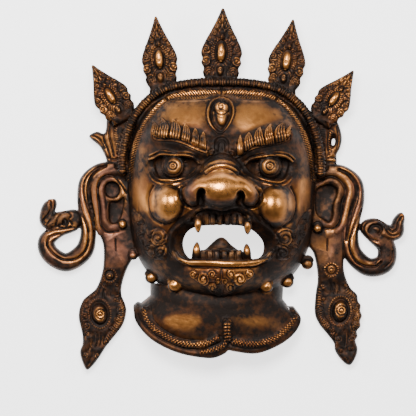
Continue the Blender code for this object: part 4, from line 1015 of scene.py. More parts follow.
@dataclass
class Mouth:
    """Lips, teeth, fangs and tongue."""

    head: Head
    upper_teeth: tuple = (-15.4, -11.2, -6.6, -1.4, 4.4, 9.4, 14.0)
    lower_teeth: tuple = (-13.4, -8.6, -3.4, 2.2, 7.6, 12.8)
    fangs: tuple = (((-17.8, -20.5), (-17.4, -32.3), 2.8), ((19.6, -22), (19.3, -33.6), 3.0),
        ((-19.2, -51.5), (-18.2, -39), 3.0), ((19.2, -51.5), (18.6, -40.3), 2.9))
    lower_lip: Plan = ((-34.5, -46.5), (-31.5, -51), (-26, -54), (-17, -54.2), (-6, -54.6),
        (6, -55.4), (17, -55), (26, -54), (33, -51.2), (37.5, -46))
    upper_lip: Plan = ((-21.5, -20.5), (-16.5, -15.4), (-9, -12.5), (-4, -13.2), (1, -14.6),
        (8, -12.8), (14.5, -15), (21.5, -20.5))
    tongue: Plan = ((-17, -48), (-11.5, -44), (-6, -38.8), (-2.5, -36.2), (0.5, -35.6),
        (3.5, -37.2), (7, -41), (13, -45.5), (17, -49), (12, -57), (-12, -57))

    def model(self, clay: Clay) -> None:
        """Adds the lips, two rows of teeth, four fangs and the tongue."""
        head = self.head
        lips = smooth_line(head.lips, closed=True)
        lips = np.vstack([lips, lips[:1]])
        upper = swell(np.abs(lips[:, 1] + 13), 10)
        clay.rod(head.on_face(lips, 0.0), 1.15 + 0.5 * upper)
        bar = smooth_line(self.lower_lip)
        share = np.sin(np.linspace(0.2, math.pi - 0.2, len(bar))) ** 0.4
        clay.rod(head.on_face(bar, 1.4), 3.1 * share)
        gum = head.face(np.array([(0.0, -20.0)]))[0] - 2.0
        floor = head.face(np.array([(0.0, -50.0)]))[0] - 3.0

        for middles, half, top, bottom, level in ((self.upper_teeth, 2.15, -17.0, -26.6, gum),
                (self.lower_teeth, 2.3, -45.2, -54.0, floor)):
            clay.rod(smooth_line([(middles[0] - 5, (top + bottom) / 2, level - 4),
                                  (middles[-1] + 5, (top + bottom) / 2, level - 4)], 2.0), 3.3)
            for x in middles:
                edge = smooth_line([(x - half, top), (x, top + 0.1), (x + half, top),
                                    (x + half, (top + bottom) / 2), (x + 0.9 * half, bottom + 0.3),
                                    (x, bottom), (x - 0.9 * half, bottom + 0.3),
                                    (x - half, (top + bottom) / 2)], 0.6, closed=True)

                def front(points: Rows, depth_in: Rows) -> Rows:
                    """A flat tooth with rounded edges that stands out at its free end."""
                    return level + 0.6 + 1.9 * rounded(depth_in, 0.9)

                clay.plate(edge, level - 4.5, front, cell=0.6)
        for root, tip, radius in self.fangs:
            share = np.linspace(0, 1, 14)
            level = gum if root[1] > -40 else floor
            line = np.column_stack([root[0] + (tip[0] - root[0]) * share,
                                    root[1] + (tip[1] - root[1]) * share,
                                    level + 1.8 + 3.0 * np.sin(math.pi * share)])
            clay.rod(line, 1.08 * radius * (1 - 0.96 * share**3.2) ** 0.75)
        level = floor - 7.5

        def dish(points: Rows, depth_in: Rows) -> Rows:
            """A tongue that is highest along its middle."""
            return level + 2.5 + 3.8 * rounded(depth_in, 6)

        clay.plate(smooth_line(self.tongue, closed=True), level - 3, dish)

    def chase(self, chisel: Chisel) -> None:
        """Cuts the gaps between the teeth and the lines of lips and tongue."""
        for middles, top, bottom in ((self.upper_teeth, -19, -26.4),
                (self.lower_teeth, -46, -52.5)):
            for one, two in zip(middles, middles[1:]):
                x = (one + two) / 2
                chisel.groove([(x, top), (x, bottom)], 0.7, 1.2)
        chisel.groove([(-22, -23), (-17, -18), (-10, -16), (-4, -16.4), (1, -17.4), (8, -16.2),
                       (14, -18.2), (21, -23)], 1.3, 1.8)
        chisel.groove([(-31, -53), (-22, -57.6), (-10, -58.4), (10, -58.4), (24, -57.8),
                       (34, -53)], 1.0, 1.2)
        chisel.groove([(-27, -51.6), (-15, -52), (0, -52.2), (15, -52), (28, -51.6)], 0.9, 1.0)
        for s in (-1, 1):
            chisel.groove([(s * 21, -15), (s * 29, -20.5), (s * 37, -28), (s * 42, -36)], 1.1, 1.2)
            chisel.groove([(s * 37, -50), (s * 41, -44), (s * 42, -38)], 0.9, 1.0)
        chisel.ridge([(-8, -44.2), (0, -43.6), (8, -44.6)], 0.9, 0.8)
        chisel.groove([(-9, -46), (0, -45.4), (9, -46.4)], 0.9, 0.7)
        # painted shade inside the lips where the mouth is sunk, with its dark patina
        chisel.stain("shade_and_patina", self.head.lips, 1.4, 1.5)
        # painted shade along the inside of the lips' rim
        rim = smooth_line(self.head.lips, closed=True)
        for spot in rim[(rim[:, 1] > -50)][::3]:
            chisel.tint("shade_and_patina", tuple(spot), (4.2, 4.2), 0.55)
        chisel.trace("gold", self.lower_lip, 3.6, 1.5)
        chisel.trace("gold", self.upper_lip, 1.5, 2.0)
        for root, tip, radius in self.fangs:
            middle = ((root[0] + tip[0]) / 2, (root[1] + 2 * tip[1]) / 3)
            chisel.tint("gold", middle, (1.2 * radius, 7.0), 3.4)
        for x in self.upper_teeth:
            chisel.tint("gold", (x, -25.2), (1.8, 2.4), 2.2)
        for x in self.lower_teeth:
            chisel.tint("gold", (x, -47.2), (1.8, 2.0), 1.6)


@dataclass
class Beard:
    """Whiskers at the corners of the mouth, the curls below the lip and the knobs."""

    head: Head
    whisker: Plan = ((66, -14), (60.5, -22.5), (54, -30), (47.5, -28.5), (41.5, -31.5),
        (40.5, -38), (42.5, -45), (41, -51.5), (47, -52.5), (53.5, -50), (58, -44), (61, -38),
        (64, -31), (66.5, -22))
    whisker_curls: tuple = (((46.3, -35.8), 5.8, 1), ((45, -46.2), 4.6, -1), ((59.6, -33), 3.2, 1),
        ((53.8, -42.5), 3.4, -1), ((61, -25), 2.4, 1), ((52.5, -34.5), 2.0, 1),
        ((49.5, -50), 2.2, -1))
    chin: Plan = ((0, -57.8), (10, -58.5), (20, -58.6), (23.5, -62.5), (20, -66.8), (14, -70.4),
        (9, -74.5), (3, -79), (0, -79.8))
    chin_curls: tuple = (((20.3, -62.7), 2.9, 1), ((13.3, -66), 4.5, -1), ((6.6, -62.8), 3.0, 1),
        ((6.2, -72), 3.9, 1), ((2.6, -67.6), 2.2, -1))
    whisker_lines: tuple = (((65, -16.5), (62, -22), (61.2, -30)),
        ((62.8, -17), (58, -24), (55, -33)), ((64.8, -24), (63, -31), (60, -38), (56.5, -45)),
        ((57, -28), (54, -37), (50, -41)), ((50, -30.5), (52, -37), (49, -41.5)),
        ((57.5, -38), (56, -46), (51, -51)), ((41, -41), (46, -41.5), (50, -44)))
    knobs: tuple = (((33.5, -72.5), 5.0, 1.5), ((49.2, -69), 5.0, 1.3), ((64.2, -55.6), 4.6, 0.5),
        ((71.8, -29.1), 3.6, 0.4), ((-34.8, -71.5), 5.4, 1.4), ((-52.4, -65.8), 4.9, 1.4),
        ((-66, -49.3), 3.7, 0.3), ((-73.9, -26.6), 2.8, 1.5))

    def model(self, clay: Clay) -> None:
        """Adds the knobs with a small curl of hair over each."""
        for (x, y), radius, _ in self.knobs:
            level = max(self.head.face(np.array([(x, y)]))[0] + 1.0, 14.0)
            clay.ball((x, y, level), (radius, 0.94 * radius, radius))
            s = math.copysign(1, x)
            curl = ellipse((x, y), (radius + 0.6, radius + 0.6), 0.0, 0.4, 2.5, 16)
            curl[:, 0] = x + s * (curl[:, 0] - x)
            places = np.column_stack([curl, np.full(len(curl), level + 0.8)])
            clay.rod(places, 1.6 * np.sin(np.linspace(0.3, math.pi - 0.3, len(curl))))

    def chase(self, chisel: Chisel) -> None:
        """Works the whiskers and the beard into curls."""
        for (x, y), radius, gold in self.knobs:
            chisel.tint("gold", (x, y), (1.4 * radius, 1.4 * radius), 1.8 * gold)
            # painted shade: a dark ring round each knob's foot
            chisel.trace("shade_and_patina", ellipse((x, y), (radius + 0.9, radius + 0.9)), 1.3, 0.7)
        for side in Side:
            chisel.panel(side.place(self.whisker), 1.5, 1.8)
            chisel.stain("shade_and_patina", side.place(self.whisker), 0.6, 1.0)
            chisel.groove(side.place(self.whisker), 0.7, 0.5, closed=True)
            for (x, y), radius, hand in self.whisker_curls:
                chisel.scroll((side.value * x, y), radius, hand * side.value, 1.0, 1.5, 1.5)
            for line in self.whisker_lines:
                chisel.groove(side.place(line), 0.75, 1.3)
                chisel.trace("gold", [(side.value * (x - 1), y) for x, y in line], 0.8, 0.35)
            mirror = [(-x, y) for x, y in self.chin]
            if side is Side.RIGHT:
                chisel.panel(list(self.chin) + mirror[-2:0:-1], 1.5, 1.6)
                chisel.stain("shade_and_patina", list(self.chin) + mirror[-2:0:-1], 0.35, 1.0)
            for (x, y), radius, hand in self.chin_curls:
                chisel.scroll((side.value * x, y), radius, hand * side.value, 2.4, 1.6, 1.4)
                chisel.tint("gold", (side.value * x, y), (radius, radius), 0.6)
                lobe = np.array((side.value * x, y))
                for angle in np.linspace(0.5, 3.6, 6):
                    ray = np.array((side.value * math.cos(angle), math.sin(angle)))
                    chisel.groove(lobe + radius * np.outer((0.62, 1.1), ray), 0.42, 0.5)
        for x in (-1.1, 1.1):
            chisel.groove([(0.3 * x, -59), (x, -66), (1.6 * x, -72), (0.4 * x, -78.5)], 0.6, 0.8)


# Crown


@dataclass
class CrownBand:
    """The rope along the crown's foot with small studs in it, and the combed hair below."""

    head: Head
    radius: float = 3.5
    height: float = 22.0
    stud_pitch: float = 8.0
    ribs: tuple = (1.5, 3.0)
    pad: Plan = ((-1.5, 74.6), (-12, 75.6), (-26, 75.2), (-38, 71.2), (-42, 68), (-36, 68.2),
        (-24, 68), (-12, 69), (-3, 72))
    braid: Plan = ((42.5, 67), (50, 60), (57, 50.5), (62, 40), (65.5, 30), (68, 19), (69.3, 7))

    def model(self, clay: Clay) -> None:
        """Adds the rope, its foot and the hair's rolls."""
        line = smooth_line(self.head.band)
        clay.rod(np.column_stack([line, np.full(len(line), self.height)]), self.radius)
        clay.rod(np.column_stack([line, np.full(len(line), self.height - 4)]), 0.9 * self.radius)
        for side in Side:
            hair = smooth_line(side.place([(1, 72.6), (14, 72.6), (28, 71.6), (40, 68.6)]))
            share = np.sin(np.linspace(0.15, math.pi - 0.25, len(hair)))
            clay.rod(self.head.on_face(hair, 0.0), 0.8 + 2.4 * share, flat=0.7)
            braid = smooth_line(side.place(self.braid))
            clay.rod(self.head.on_face(braid, -0.2), np.linspace(1.4, 2.0, len(braid)))

    def chase(self, chisel: Chisel) -> None:
        """Cuts the rope's strands and studs and combs the hair."""
        line = smooth_line(self.head.band, 0.5)
        near = chisel.beside(line, 4.2)
        distance, run, offset = along(chisel.places[near, :2], line)
        length = float(np.hypot(*np.diff(line, axis=0).T).sum())
        count = 2 * round(length / self.stud_pitch / 2)
        pitch = length / count
        phase = (run / pitch) % 1 - 0.5
        bowed = np.hypot(phase * pitch, 0.55 * offset)
        cut = np.zeros(len(near))
        for spot in self.ribs:
            cut = np.maximum(cut, swell(np.abs(bowed - spot), 0.72))
        chisel.lift[near] += (0.5 - 1.5 * cut) * np.clip((4.0 - distance) / 0.6, 0, 1)
        chisel.shade_and_patina[near] += 0.4 + 0.6 * cut
        chisel.gold[near] += 0.15 * (1 - cut)
        chisel.groove([(x, y - 3.7) if abs(x) < 40 else (0.955 * x, y - 2.2)
                       for x, y in self.head.band], 1.5, 1.2)
        for side in Side:
            pad = [(-side.value * x, y) for x, y in self.pad]
            guide = side.place([(1, 71.6), (14, 71.8), (28, 71), (42, 67.5)])
            chisel.comb(guide, 4.2, 2.0, 1.2, 0.8 * side.value, pad)
            chisel.trace("gold", guide, 3.6, 0.45)
            chisel.ridge(side.place([(4, 70.6), (14, 69.2), (26, 68.8), (38, 68.6)]), 0.9, 0.7)
            chisel.groove(side.place([(3, 69.2), (14, 67.6), (26, 67.2), (41, 67.4)]), 1.0, 1.3)
            chisel.groove(side.place([(3, 75.2), (14, 76.2), (27, 75.8), (38, 72.4), (50, 65)]),
                          1.2, 0.8)
            chisel.comb(side.place(self.braid), 2.6, 2.0, 0.9, 0.9 * side.value)
        chisel.groove([(0, 70), (0, 77)], 1.3, 1.2)
        chisel.groove([(-3.5, 72), (0, 70), (3.5, 72)], 0.9, 0.8)


@dataclass
class Leaf:
    """One leaf of the crown, in a frame of its own: across and up from its foot."""

    foot: Spot
    tip: Spot
    wide: float
    widths: Plan = ((-0.07, 9.5), (0.0, 10.5), (0.06, 12.6), (0.12, 13.6), (0.175, 12.9),
        (0.25, 15.0), (0.31, 14.2), (0.38, 15.4), (0.46, 14.6), (0.56, 12.2), (0.68, 8.8),
        (0.8, 5.6), (0.91, 2.9), (1.0, 0.9))
    back: float = 10.5
    thick: float = 5.2
    lean: float = 0.10

    @property
    def ahead(self) -> Rows:
        """The leaf's direction in plan."""
        run = np.array(self.tip) - np.array(self.foot)
        return run / np.hypot(*run)

    @property
    def size(self) -> float:
        """The leaf's length as a share of the middle leaf's 54 mm."""
        return float(np.hypot(*(np.array(self.tip) - np.array(self.foot)))) / 54

    @property
    def turn(self) -> float:
        """How far the leaf is turned from upright."""
        return math.atan2(self.ahead[1], self.ahead[0]) - math.pi / 2

    def at(self, spots: Line) -> Rows:
        """Plan places of spots on the leaf."""
        spots = np.atleast_2d(np.asarray(spots, float)) * self.size
        side = np.array([self.ahead[1], -self.ahead[0]])
        return np.array(self.foot) + spots[:, :1] * self.wide * side + spots[:, 1:] * self.ahead

    def front_height(self, points: Rows) -> Rows:
        """Height of the leaf's front."""
        return self.back + self.thick + self.lean * ((points - np.array(self.foot)) @ self.ahead)

    def outline(self) -> Rows:
        """The leaf's closed outline."""
        rows = np.array(self.widths) * (54, 1)
        right = rows[:, ::-1]
        local = smooth_line(np.vstack([right, right[::-1] * [-1, 1]]), 0.8, closed=True)
        return self.at(local)

    def model(self, clay: Clay) -> None:
        """Adds the plate and its three gems."""

        def front(points: Rows, depth_in: Rows) -> Rows:
            """A flat front with rounded edges."""
            return self.front_height(points) - 2.2 * (1 - rounded(depth_in, 1.8))

        clay.plate(self.outline(), self.back - 1.0, front)
        for across, up, half_across, half_up, rise in ((-0.3, 21.5, 3.4, 7.8, 3.0),
                (-0.6, 8, 2.5, 4.0, 2.4), (0.1, 33.5, 1.8, 2.8, 2.0)):
            spot = self.at([(across, up)])
            clay.ball((*spot[0], self.front_height(spot)[0] - 0.3),
                      (half_across * self.size, half_up * self.size, rise), self.turn)

    def chase(self, chisel: Chisel) -> None:
        """Works the ornament of the leaf."""
        turn, size = self.turn, self.size
        gem, low, high = (tuple(self.at([s])[0]) for s in ((-0.3, 21.5), (-0.6, 8), (0.1, 33.5)))
        chisel.groove(ellipse(gem, (4.3 * size, 8.8 * size), turn), 0.8, 1.0, closed=True)
        for half in ((5.7 * size, 10.2 * size), (7.4 * size, 11.8 * size)):
            chisel.beads(ellipse(gem, half, turn, -0.55, math.pi + 0.55), 1.75, 0.72, 1.0)
        chisel.ring(tuple(self.at([(-0.8, 20.6)])[0]), 0.9, 0.5, 0.5)
        for grow in (1.5, 2.2, 2.9):
            chisel.groove(ellipse(low, (grow * 2.2 * size, grow * 2.6 * size), turn, -0.3,
                                  math.pi + 0.3), 0.6, 0.8)
        chisel.ring(tuple(self.at([(-0.6, 8.6)])[0]), 0.9, 0.5, 0.6)
        chisel.groove(ellipse(high, (2.9 * size, 4.0 * size), turn, -0.5, math.pi + 0.5), 0.65,
                      0.8)
        for hand in (-1, 1):
            for half_across, half_up in ((4.6, 7.0), (3.3, 5.4), (2.0, 3.8)):
                arch = ellipse((hand * 9.2, 4.0), (half_across, half_up), 0.10 * hand, -0.1,
                               math.pi + 0.1)
                chisel.groove(self.at(arch), 0.6, 1.1)
                arch = ellipse((hand * 9.2, 4.0), (half_across - 0.65, half_up - 0.7),
                               0.10 * hand, 0.2, math.pi - 0.2)
                chisel.ridge(self.at(arch), 0.6, 0.6)
            chisel.scroll(tuple(self.at([(hand * 11.6, 15.3)])[0]), 3.5 * size, -hand,
                          turn + math.pi / 2, 1.1, 1.5)
            stalk = self.at([(hand * 8, 11.5), (hand * 7.2, 15), (hand * 8.4, 19.3),
                             (hand * 12.2, 20.2)])
            chisel.groove(smooth_line(stalk, LINE_STEP), 0.7, 0.9)
            for across, up, radius, way in ((11.6, 24.2, 2.5, 1), (8.0, 27.6, 2.1, -1),
                    (9.2, 32, 2.2, 1), (5.6, 36.5, 2.2, -1), (5.2, 30.6, 1.7, 1),
                    (2.6, 41, 1.9, 1)):
                chisel.scroll(tuple(self.at([(hand * across, up)])[0]), radius * size, way * hand,
                              turn + across, 0.9, 1.3)
            for line in (((1.2, 38), (2.4, 42), (4.4, 45)), ((0.8, 42.5), (1.8, 46), (3.2, 48.6)),
                    ((2.2, 35), (4.2, 38.5), (6.4, 40)), ((8, 22), (9, 17), (7, 12)),
                    ((11, 28), (8.5, 24), (8, 20)), ((7.8, 35.5), (5, 32), (4.4, 28)),
                    ((4.6, 40.5), (3, 44), (1, 47.5)), ((3.2, 36), (2.2, 39), (0.6, 43)),
                    ((1.6, 45), (0.8, 49), (0.2, 52)), ((12.8, 21.6), (9.6, 22.4), (8, 25.5))):
                vein = self.at([(hand * a, b) for a, b in line])
                chisel.groove(smooth_line(vein, LINE_STEP), 0.65, 0.75)
        chisel.tint("gold", gem, (4.6, 8.6), 1.7, turn)
        chisel.tint("gold", low, (3.0, 4.4), 0.55, turn)
        for across in (11.6, -11.6):
            chisel.tint("gold", tuple(self.at([(across, 15.3)])[0]), (4, 4), 0.35)


LEAVES = (Leaf((-73.5, 54.5), (-96.5, 92.7), 1.08), Leaf((-44.5, 76.5), (-49.2, 129.2), 0.89),
    Leaf((-0.6, 81), (1.1, 135.2), 1.0), Leaf((46, 75.5), (53.5, 126.8), 0.95),
    Leaf((74.3, 53), (98.5, 88.6), 1.08))


@dataclass
class Bow:
    """The folded cloth at one end of the crown."""

    outline: Plan
    folds: tuple
    beads: tuple
    hole: Plan | None = None
    back: float = 4.5
    thick: float = 7.0

    def model(self, clay: Clay) -> None:
        """Adds the bow's plate."""

        def front(points: Rows, depth_in: Rows) -> Rows:
            """A front that swells from its edge."""
            return self.back + self.thick * (0.35 + 0.65 * rounded(depth_in, 3.0))

        hole = None if self.hole is None else smooth_line(self.hole, 0.5, closed=True)
        clay.plate(smooth_line(self.outline, 1.0, closed=True), self.back, front, hole=hole)

    def chase(self, chisel: Chisel) -> None:
        """Cuts the folds and rows of scales."""
        for line in self.folds:
            chisel.groove(line, 1.2, 1.2)
        for line in self.beads:
            chisel.comb(line, 1.9, 1.7, 0.9, 0.4)


BOWS = (
    Bow(((-66, 58), (-76, 58), (-85, 54), (-86.5, 46), (-88, 42), (-93, 43.5), (-97.5, 41.8),
    (-99.2, 39.8), (-96.5, 36.8), (-91, 32), (-87.2, 25), (-85.5, 21), (-80, 16), (-66, 14)),
        (((-88, 42), (-87.5, 36), (-84, 27), (-83, 22)), ((-96, 40.5), (-91, 37.5), (-87.5, 31)),
        ((-82.5, 51), (-84, 42), (-82, 33), (-80.5, 25)), ((-85.5, 24), (-80, 22.5), (-76, 24))),
        (((-78, 50), (-79, 42), (-77.5, 34), (-77, 27)), ((-72.5, 45), (-74, 38), (-75, 28)))),
    Bow(((66, 56), (76, 56), (85.5, 52), (88.8, 46), (90.2, 38), (88.8, 31), (86.2, 26),
    (86.2, 20), (82, 15), (66, 13)),
        (((78, 50), (80, 43), (79.5, 34), (80, 26)), ((86.5, 47), (87, 40), (86.6, 33), (85, 27)),
        ((80, 23.6), (83, 24), (86.5, 23)), ((79.5, 20.5), (83, 20.8), (86, 19.6))),
        (((74.5, 48), (75.8, 40), (76, 30), (75, 20)), ((82, 45), (81, 38), (81, 29))),
        hole=((82.6, 36), (83, 32.6), (84.6, 34), (85, 37), (84, 40))))


# Sides


@dataclass
class Ear:
    """One long ear with its strap and the pendant cast on it."""

    side: Side
    outline: Plan
    helix: Plan
    ridge: Plan
    boss: Spot
    boss_half: Spot
    target: Spot
    stud: Spot
    curls: tuple
    strokes: tuple
    fold: Plan
    recess: Plan
    hollows: tuple
    back: float = 3.5
    ear_thick: float = 8.5
    pendant_thick: float = 6.5

    def model(self, clay: Clay) -> None:
        """Adds the plate, the ear's rolls, the boss and the stud."""

        def front(points: Rows, depth_in: Rows) -> Rows:
            """The ear, hollowed in its middle, that thins into the pendant."""
            low = np.clip((-58 - points[:, 1]) / 14, 0, 1)
            body = self.ear_thick * (1 - low) + self.pendant_thick * low
            return self.back + body * (0.4 + 0.6 * rounded(depth_in, 2.4))

        clay.plate(smooth_line(self.outline, 1.0, closed=True), self.back, front)
        top = self.back + self.ear_thick
        for line, radius in ((self.helix, 2.7), (self.ridge, 2.2)):
            path = smooth_line(line)
            fade = np.sin(np.linspace(0.1, math.pi - 0.1, len(path))) ** 0.4
            clay.rod(np.column_stack([path, top - 1.6 * (1 - fade)]), radius, flat=0.55)
        level = self.back + self.pendant_thick
        clay.ball((*self.boss, level), (*self.boss_half, 4.8), -0.12 * self.side.value)
        clay.ball((*self.stud, level), (3.2, 3.2, 2.6))

    def chase(self, chisel: Chisel) -> None:
        """Cuts the lobe's slit, the pendant's rings, rays, curls and strokes."""
        s = self.side.value
        chisel.groove([(s * 79.3, -37), (s * 79, -45.5)], 0.9, 1.4)
        for line, width, depth in ((self.fold, 1.0, 1.9), (self.recess, 2.0, 2.4)):
            chisel.groove(line, width, depth)
            chisel.trace("shade_and_patina", line, 1.3 * width, 0.8)
        for hollow in self.hollows:
            chisel.panel(hollow, -3.4, 1.6)
            chisel.stain("shade_and_patina", hollow, 0.35, 1.0)
            chisel.trace("shade_and_patina", hollow, 1.2, 0.5, closed=True)
        for line in (self.helix, self.ridge):
            for spot in smooth_line(line)[4:-4:3]:
                chisel.tint("gold", tuple(spot), (2.6, 2.6), 0.16)
        for radius, kind in ((3.7, "shade_and_patina"), (2.7, "gold"), (1.75, "shade_and_patina"), (0.7, "gold")):
            if kind == "shade_and_patina":
                chisel.ring(self.target, radius, 0.75, 1.1)
            chisel.trace(kind, ellipse(self.target, (radius, radius)), 0.75, 1.6)
        ring = ellipse(self.boss, (8.3, 11.2), -0.12 * s)
        chisel.groove(ellipse(self.boss, (self.boss_half[0] + 1, self.boss_half[1] + 1),
                              -0.12 * s), 0.9, 0.8, closed=True)
        chisel.beads(ring, 1.7, 0.72, 0.9, closed=True)
        chisel.ring(self.stud, 3.6, 0.8, 0.9)
        chisel.ring(self.stud, 1.5, 0.6, 0.8)
        chisel.beads(ellipse(self.stud, (5.0, 5.0)), 1.9, 0.75, 0.9, closed=True)
        below = np.array([p for p in self.outline if p[1] < -60])
        edge = smooth_line(below, 1.0)
        middle = np.array(self.boss)
        for spot in edge[2:-2:2]:
            gap = middle - spot
            length = float(np.hypot(*gap))
            if length < 26:
                reach = min(length - 11.5, 6.5)
                start = spot + 1.0 * gap / length
                end = spot + reach * gap / length
                bend = np.array([-gap[1], gap[0]]) / length * 1.3
                chisel.groove([start, (start + end) / 2 + bend, end], 0.7, 0.75)
        for (x, y), radius, hand in self.curls:
            chisel.scroll((x, y), radius, hand, 0.3 * x, 1.0, 1.5)
        for line in self.strokes:
            chisel.groove(line, 0.8, 1.0)
        chisel.tint("gold", self.boss, (self.boss_half[0] + 1.5, self.boss_half[1] + 1), 1.0)
        chisel.tint("gold", self.stud, (4, 4), 0.6)


EARS = (
    Ear(Side.LEFT,
        ((-64, 12), (-80, 16), (-92, 12), (-98, 2), (-98, -10), (-94, -22), (-92, -32),
        (-88.5, -42), (-88.5, -56), (-90.5, -66), (-94, -74), (-99, -78.5), (-103.5, -82.5),
        (-106.3, -89), (-107, -96), (-105.5, -103), (-104, -110), (-104.2, -116), (-106, -121),
        (-104.6, -128), (-101, -135), (-96.5, -132), (-91.5, -125.5), (-86, -117), (-79.5, -109),
        (-73.8, -101), (-71.3, -92), (-72, -86), (-75, -78), (-74, -69), (-70.5, -59), (-66, -50),
        (-62, -35)),
        ((-70, 8.5), (-76, 12.6), (-83.5, 13.6), (-91, 10.4), (-95, 3), (-95, -6), (-93.6, -16),
        (-92.6, -26), (-90, -33)),
        ((-72.5, 0), (-77, 6), (-82, 7.9), (-87.2, 5.8), (-90, 0), (-88.9, -8), (-87.9, -16),
        (-87.3, -23), (-83.6, -28.4), (-78.6, -28.4), (-75.6, -25.4)), (-91.3, -92.8), (5.6, 7.8),
        (-90.6, -93.2), (-83.6, -64.6),
        (((-101, -88), 2.6, 1), ((-102.5, -95), 2.6, -1), ((-101, -102), 2.6, 1),
        ((-97.5, -80.5), 2.2, 1), ((-78, -97.5), 2.4, -1), ((-82.5, -104.5), 2.4, 1),
        ((-76.3, -90), 2.2, 1), ((-78, -83), 2.2, -1), ((-100.5, -108.5), 2.2, -1),
        ((-86.5, -114), 2.4, -1), ((-102, -124), 2.2, 1), ((-93, -124), 2.0, -1),
        ((-87.7, -71.5), 1.8, 1), ((-78.2, -72), 1.8, -1)),
        (((-96.5, -107), (-95.5, -112), (-97, -117)), ((-93.5, -107), (-92.5, -113), (-94, -118)),
        ((-90.3, -107.5), (-90, -112.5), (-91.3, -117.5)),
        ((-99.5, -112), (-98.5, -117), (-100, -121)), ((-98, -118), (-97, -124), (-99.5, -131)),
        ((-85.5, -72.5), (-86, -76), (-85, -79.5)), ((-83, -72.5), (-83, -76), (-82.5, -79.5)),
        ((-87.5, -75), (-88.5, -79), (-88, -82))),
        ((-71, -2.5), (-75.4, 3.8), (-79.9, 9.4), (-85.6, 10.4), (-90.6, 7), (-92.6, -0.6),
        (-91.3, -13.3), (-90.2, -25), (-88, -29.8), (-84.3, -32), (-77, -31.2)),
        ((-87, 17.6), (-93.6, 14), (-98, 8), (-99.3, 0), (-98.6, -8), (-97, -16), (-95.4, -24),
        (-94.6, -34)),
        (((-87.6, 0), (-85.8, 4.6), (-81.8, 6), (-77.6, 4.2), (-75.8, -0.4), (-77.4, -4.8),
        (-81.8, -6.6), (-86, -4.8)), ((-83.5, -9), (-84.6, -15), (-84.5, -22), (-82.5, -25.6),
        (-79, -25.6), (-76, -22.5), (-73.8, -17), (-72.5, -9), (-73.4, -5.5), (-78, -8.5)))),
    Ear(Side.RIGHT,
        ((64, 12), (80, 15), (91, 12), (96, 4), (96.5, -8), (93.5, -20), (92, -34), (92, -46),
        (91.5, -58), (93.5, -67), (97, -74), (101.5, -78.5), (102.3, -83.5), (104.4, -86.5),
        (103.9, -90.5), (105.3, -94.5), (103.8, -98.5), (104.2, -102.5), (101.4, -106),
        (102, -110), (100.3, -113), (102, -119), (100.8, -125), (97, -131.2), (93, -130.6),
        (88, -125.5), (84.8, -120), (84.2, -115), (79, -108), (73, -100.5), (69.8, -92),
        (70.5, -78), (72, -68), (71.3, -58), (69, -48), (64, -35)),
        ((71, 8), (78, 12), (85, 12.4), (92, 9), (96, 3), (96.6, -3), (94.4, -11), (92.6, -20),
        (90.2, -27.5), (85.5, -32.5)),
        ((72.5, 1), (78.5, 6.2), (84.5, 6.2), (88.8, 1.5), (88.2, -5), (86, -11), (85.4, -20),
        (82.5, -26), (76, -26.4)), (88.8, -91), (5.6, 7.9), (89.8, -90.4), (82.3, -60.2),
        (((98.5, -82.5), 2.3, -1), ((100.6, -89), 2.3, 1), ((100.8, -96), 2.4, -1),
        ((98.6, -103), 2.4, 1), ((76, -82), 2.2, 1), ((74.6, -90), 2.4, -1), ((77, -98), 2.5, 1),
        ((82, -105), 2.4, -1), ((97.3, -111), 2.2, -1), ((88, -112), 2.4, 1),
        ((97.5, -119), 2.2, 1), ((89.5, -121), 2.2, -1), ((93.5, -72.5), 2.0, 1),
        ((76, -72), 2.0, -1), ((93.5, -127), 1.7, 1)),
        (((92, -105), (93, -111), (92.5, -117)), ((94.8, -106), (94.8, -112), (93.8, -121)),
        ((84, -70), (85.3, -74), (84.6, -78)), ((86.8, -70), (88, -74), (87.2, -78)),
        ((81.5, -70.5), (82.4, -74), (82, -78)), ((85.5, -107), (84.5, -112), (86.5, -118))),
        ((72, 5.5), (76.6, 8.6), (83, 9.6), (88.7, 6.8), (92.4, 0.6), (92, -4.6), (89.9, -10.8),
        (89.2, -20.9), (87.4, -26), (83, -29.3), (76.8, -29)),
        ((88, 15), (95.2, 11), (100.4, 3.2), (100.4, -5.7), (97, -15.8), (95, -26), (93.3, -37)),
        (((70.5, -1), (77, 3.4), (83, 3.4), (86.4, 0), (86, -5), (83.8, -11), (83, -20),
        (80.6, -24.4), (76, -22.5), (70.5, -17)),)))


@dataclass
class Ribbon:
    """A fluted ribbon that loops at the side of the head."""

    stations: tuple
    cuts: tuple
    rubbed: tuple
    back: float = 3.0
    thick: float = 8.0

    def model(self, clay: Clay) -> None:
        """Lofts the ribbon along its line as a flat strap with rounded edges."""
        rows = np.array([(*middle, half, lift) for middle, half, lift in self.stations], float)
        line = smooth_line(rows, 0.8)
        centre, half, lift = line[:, :2], line[:, 2], line[:, 3]
        ahead = np.gradient(centre, axis=0)
        ahead /= np.linalg.norm(ahead, axis=1)[:, None]
        side = np.column_stack([ahead[:, 1], -ahead[:, 0]])
        across = np.linspace(-1, 1, 33)
        profile = (1 - np.abs(across) ** 5) ** 0.5 * self.thick + 0.8 * (1 - across**2)
        rings = []
        for place, out, width, raised in zip(centre, side, half, lift):
            points = place + across[:, None] * width * out
            base = self.back + raised
            top = np.column_stack([points, base + np.maximum(profile, 0.8)])
            bottom = np.column_stack([points[::-1], np.full(len(points), base)])
            rings.append(np.vstack([top, bottom]))
        clay.skin(rings)

    def chase(self, chisel: Chisel) -> None:
        """Cuts the folds and rubs the edges that stand out."""
        for line, width, depth in self.cuts:
            chisel.groove(line, width, depth)
            chisel.trace("shade_and_patina", line, 1.2 * width, 0.4 * depth)
        for line, width, amount in self.rubbed:
            chisel.trace("gold", line, width, amount)


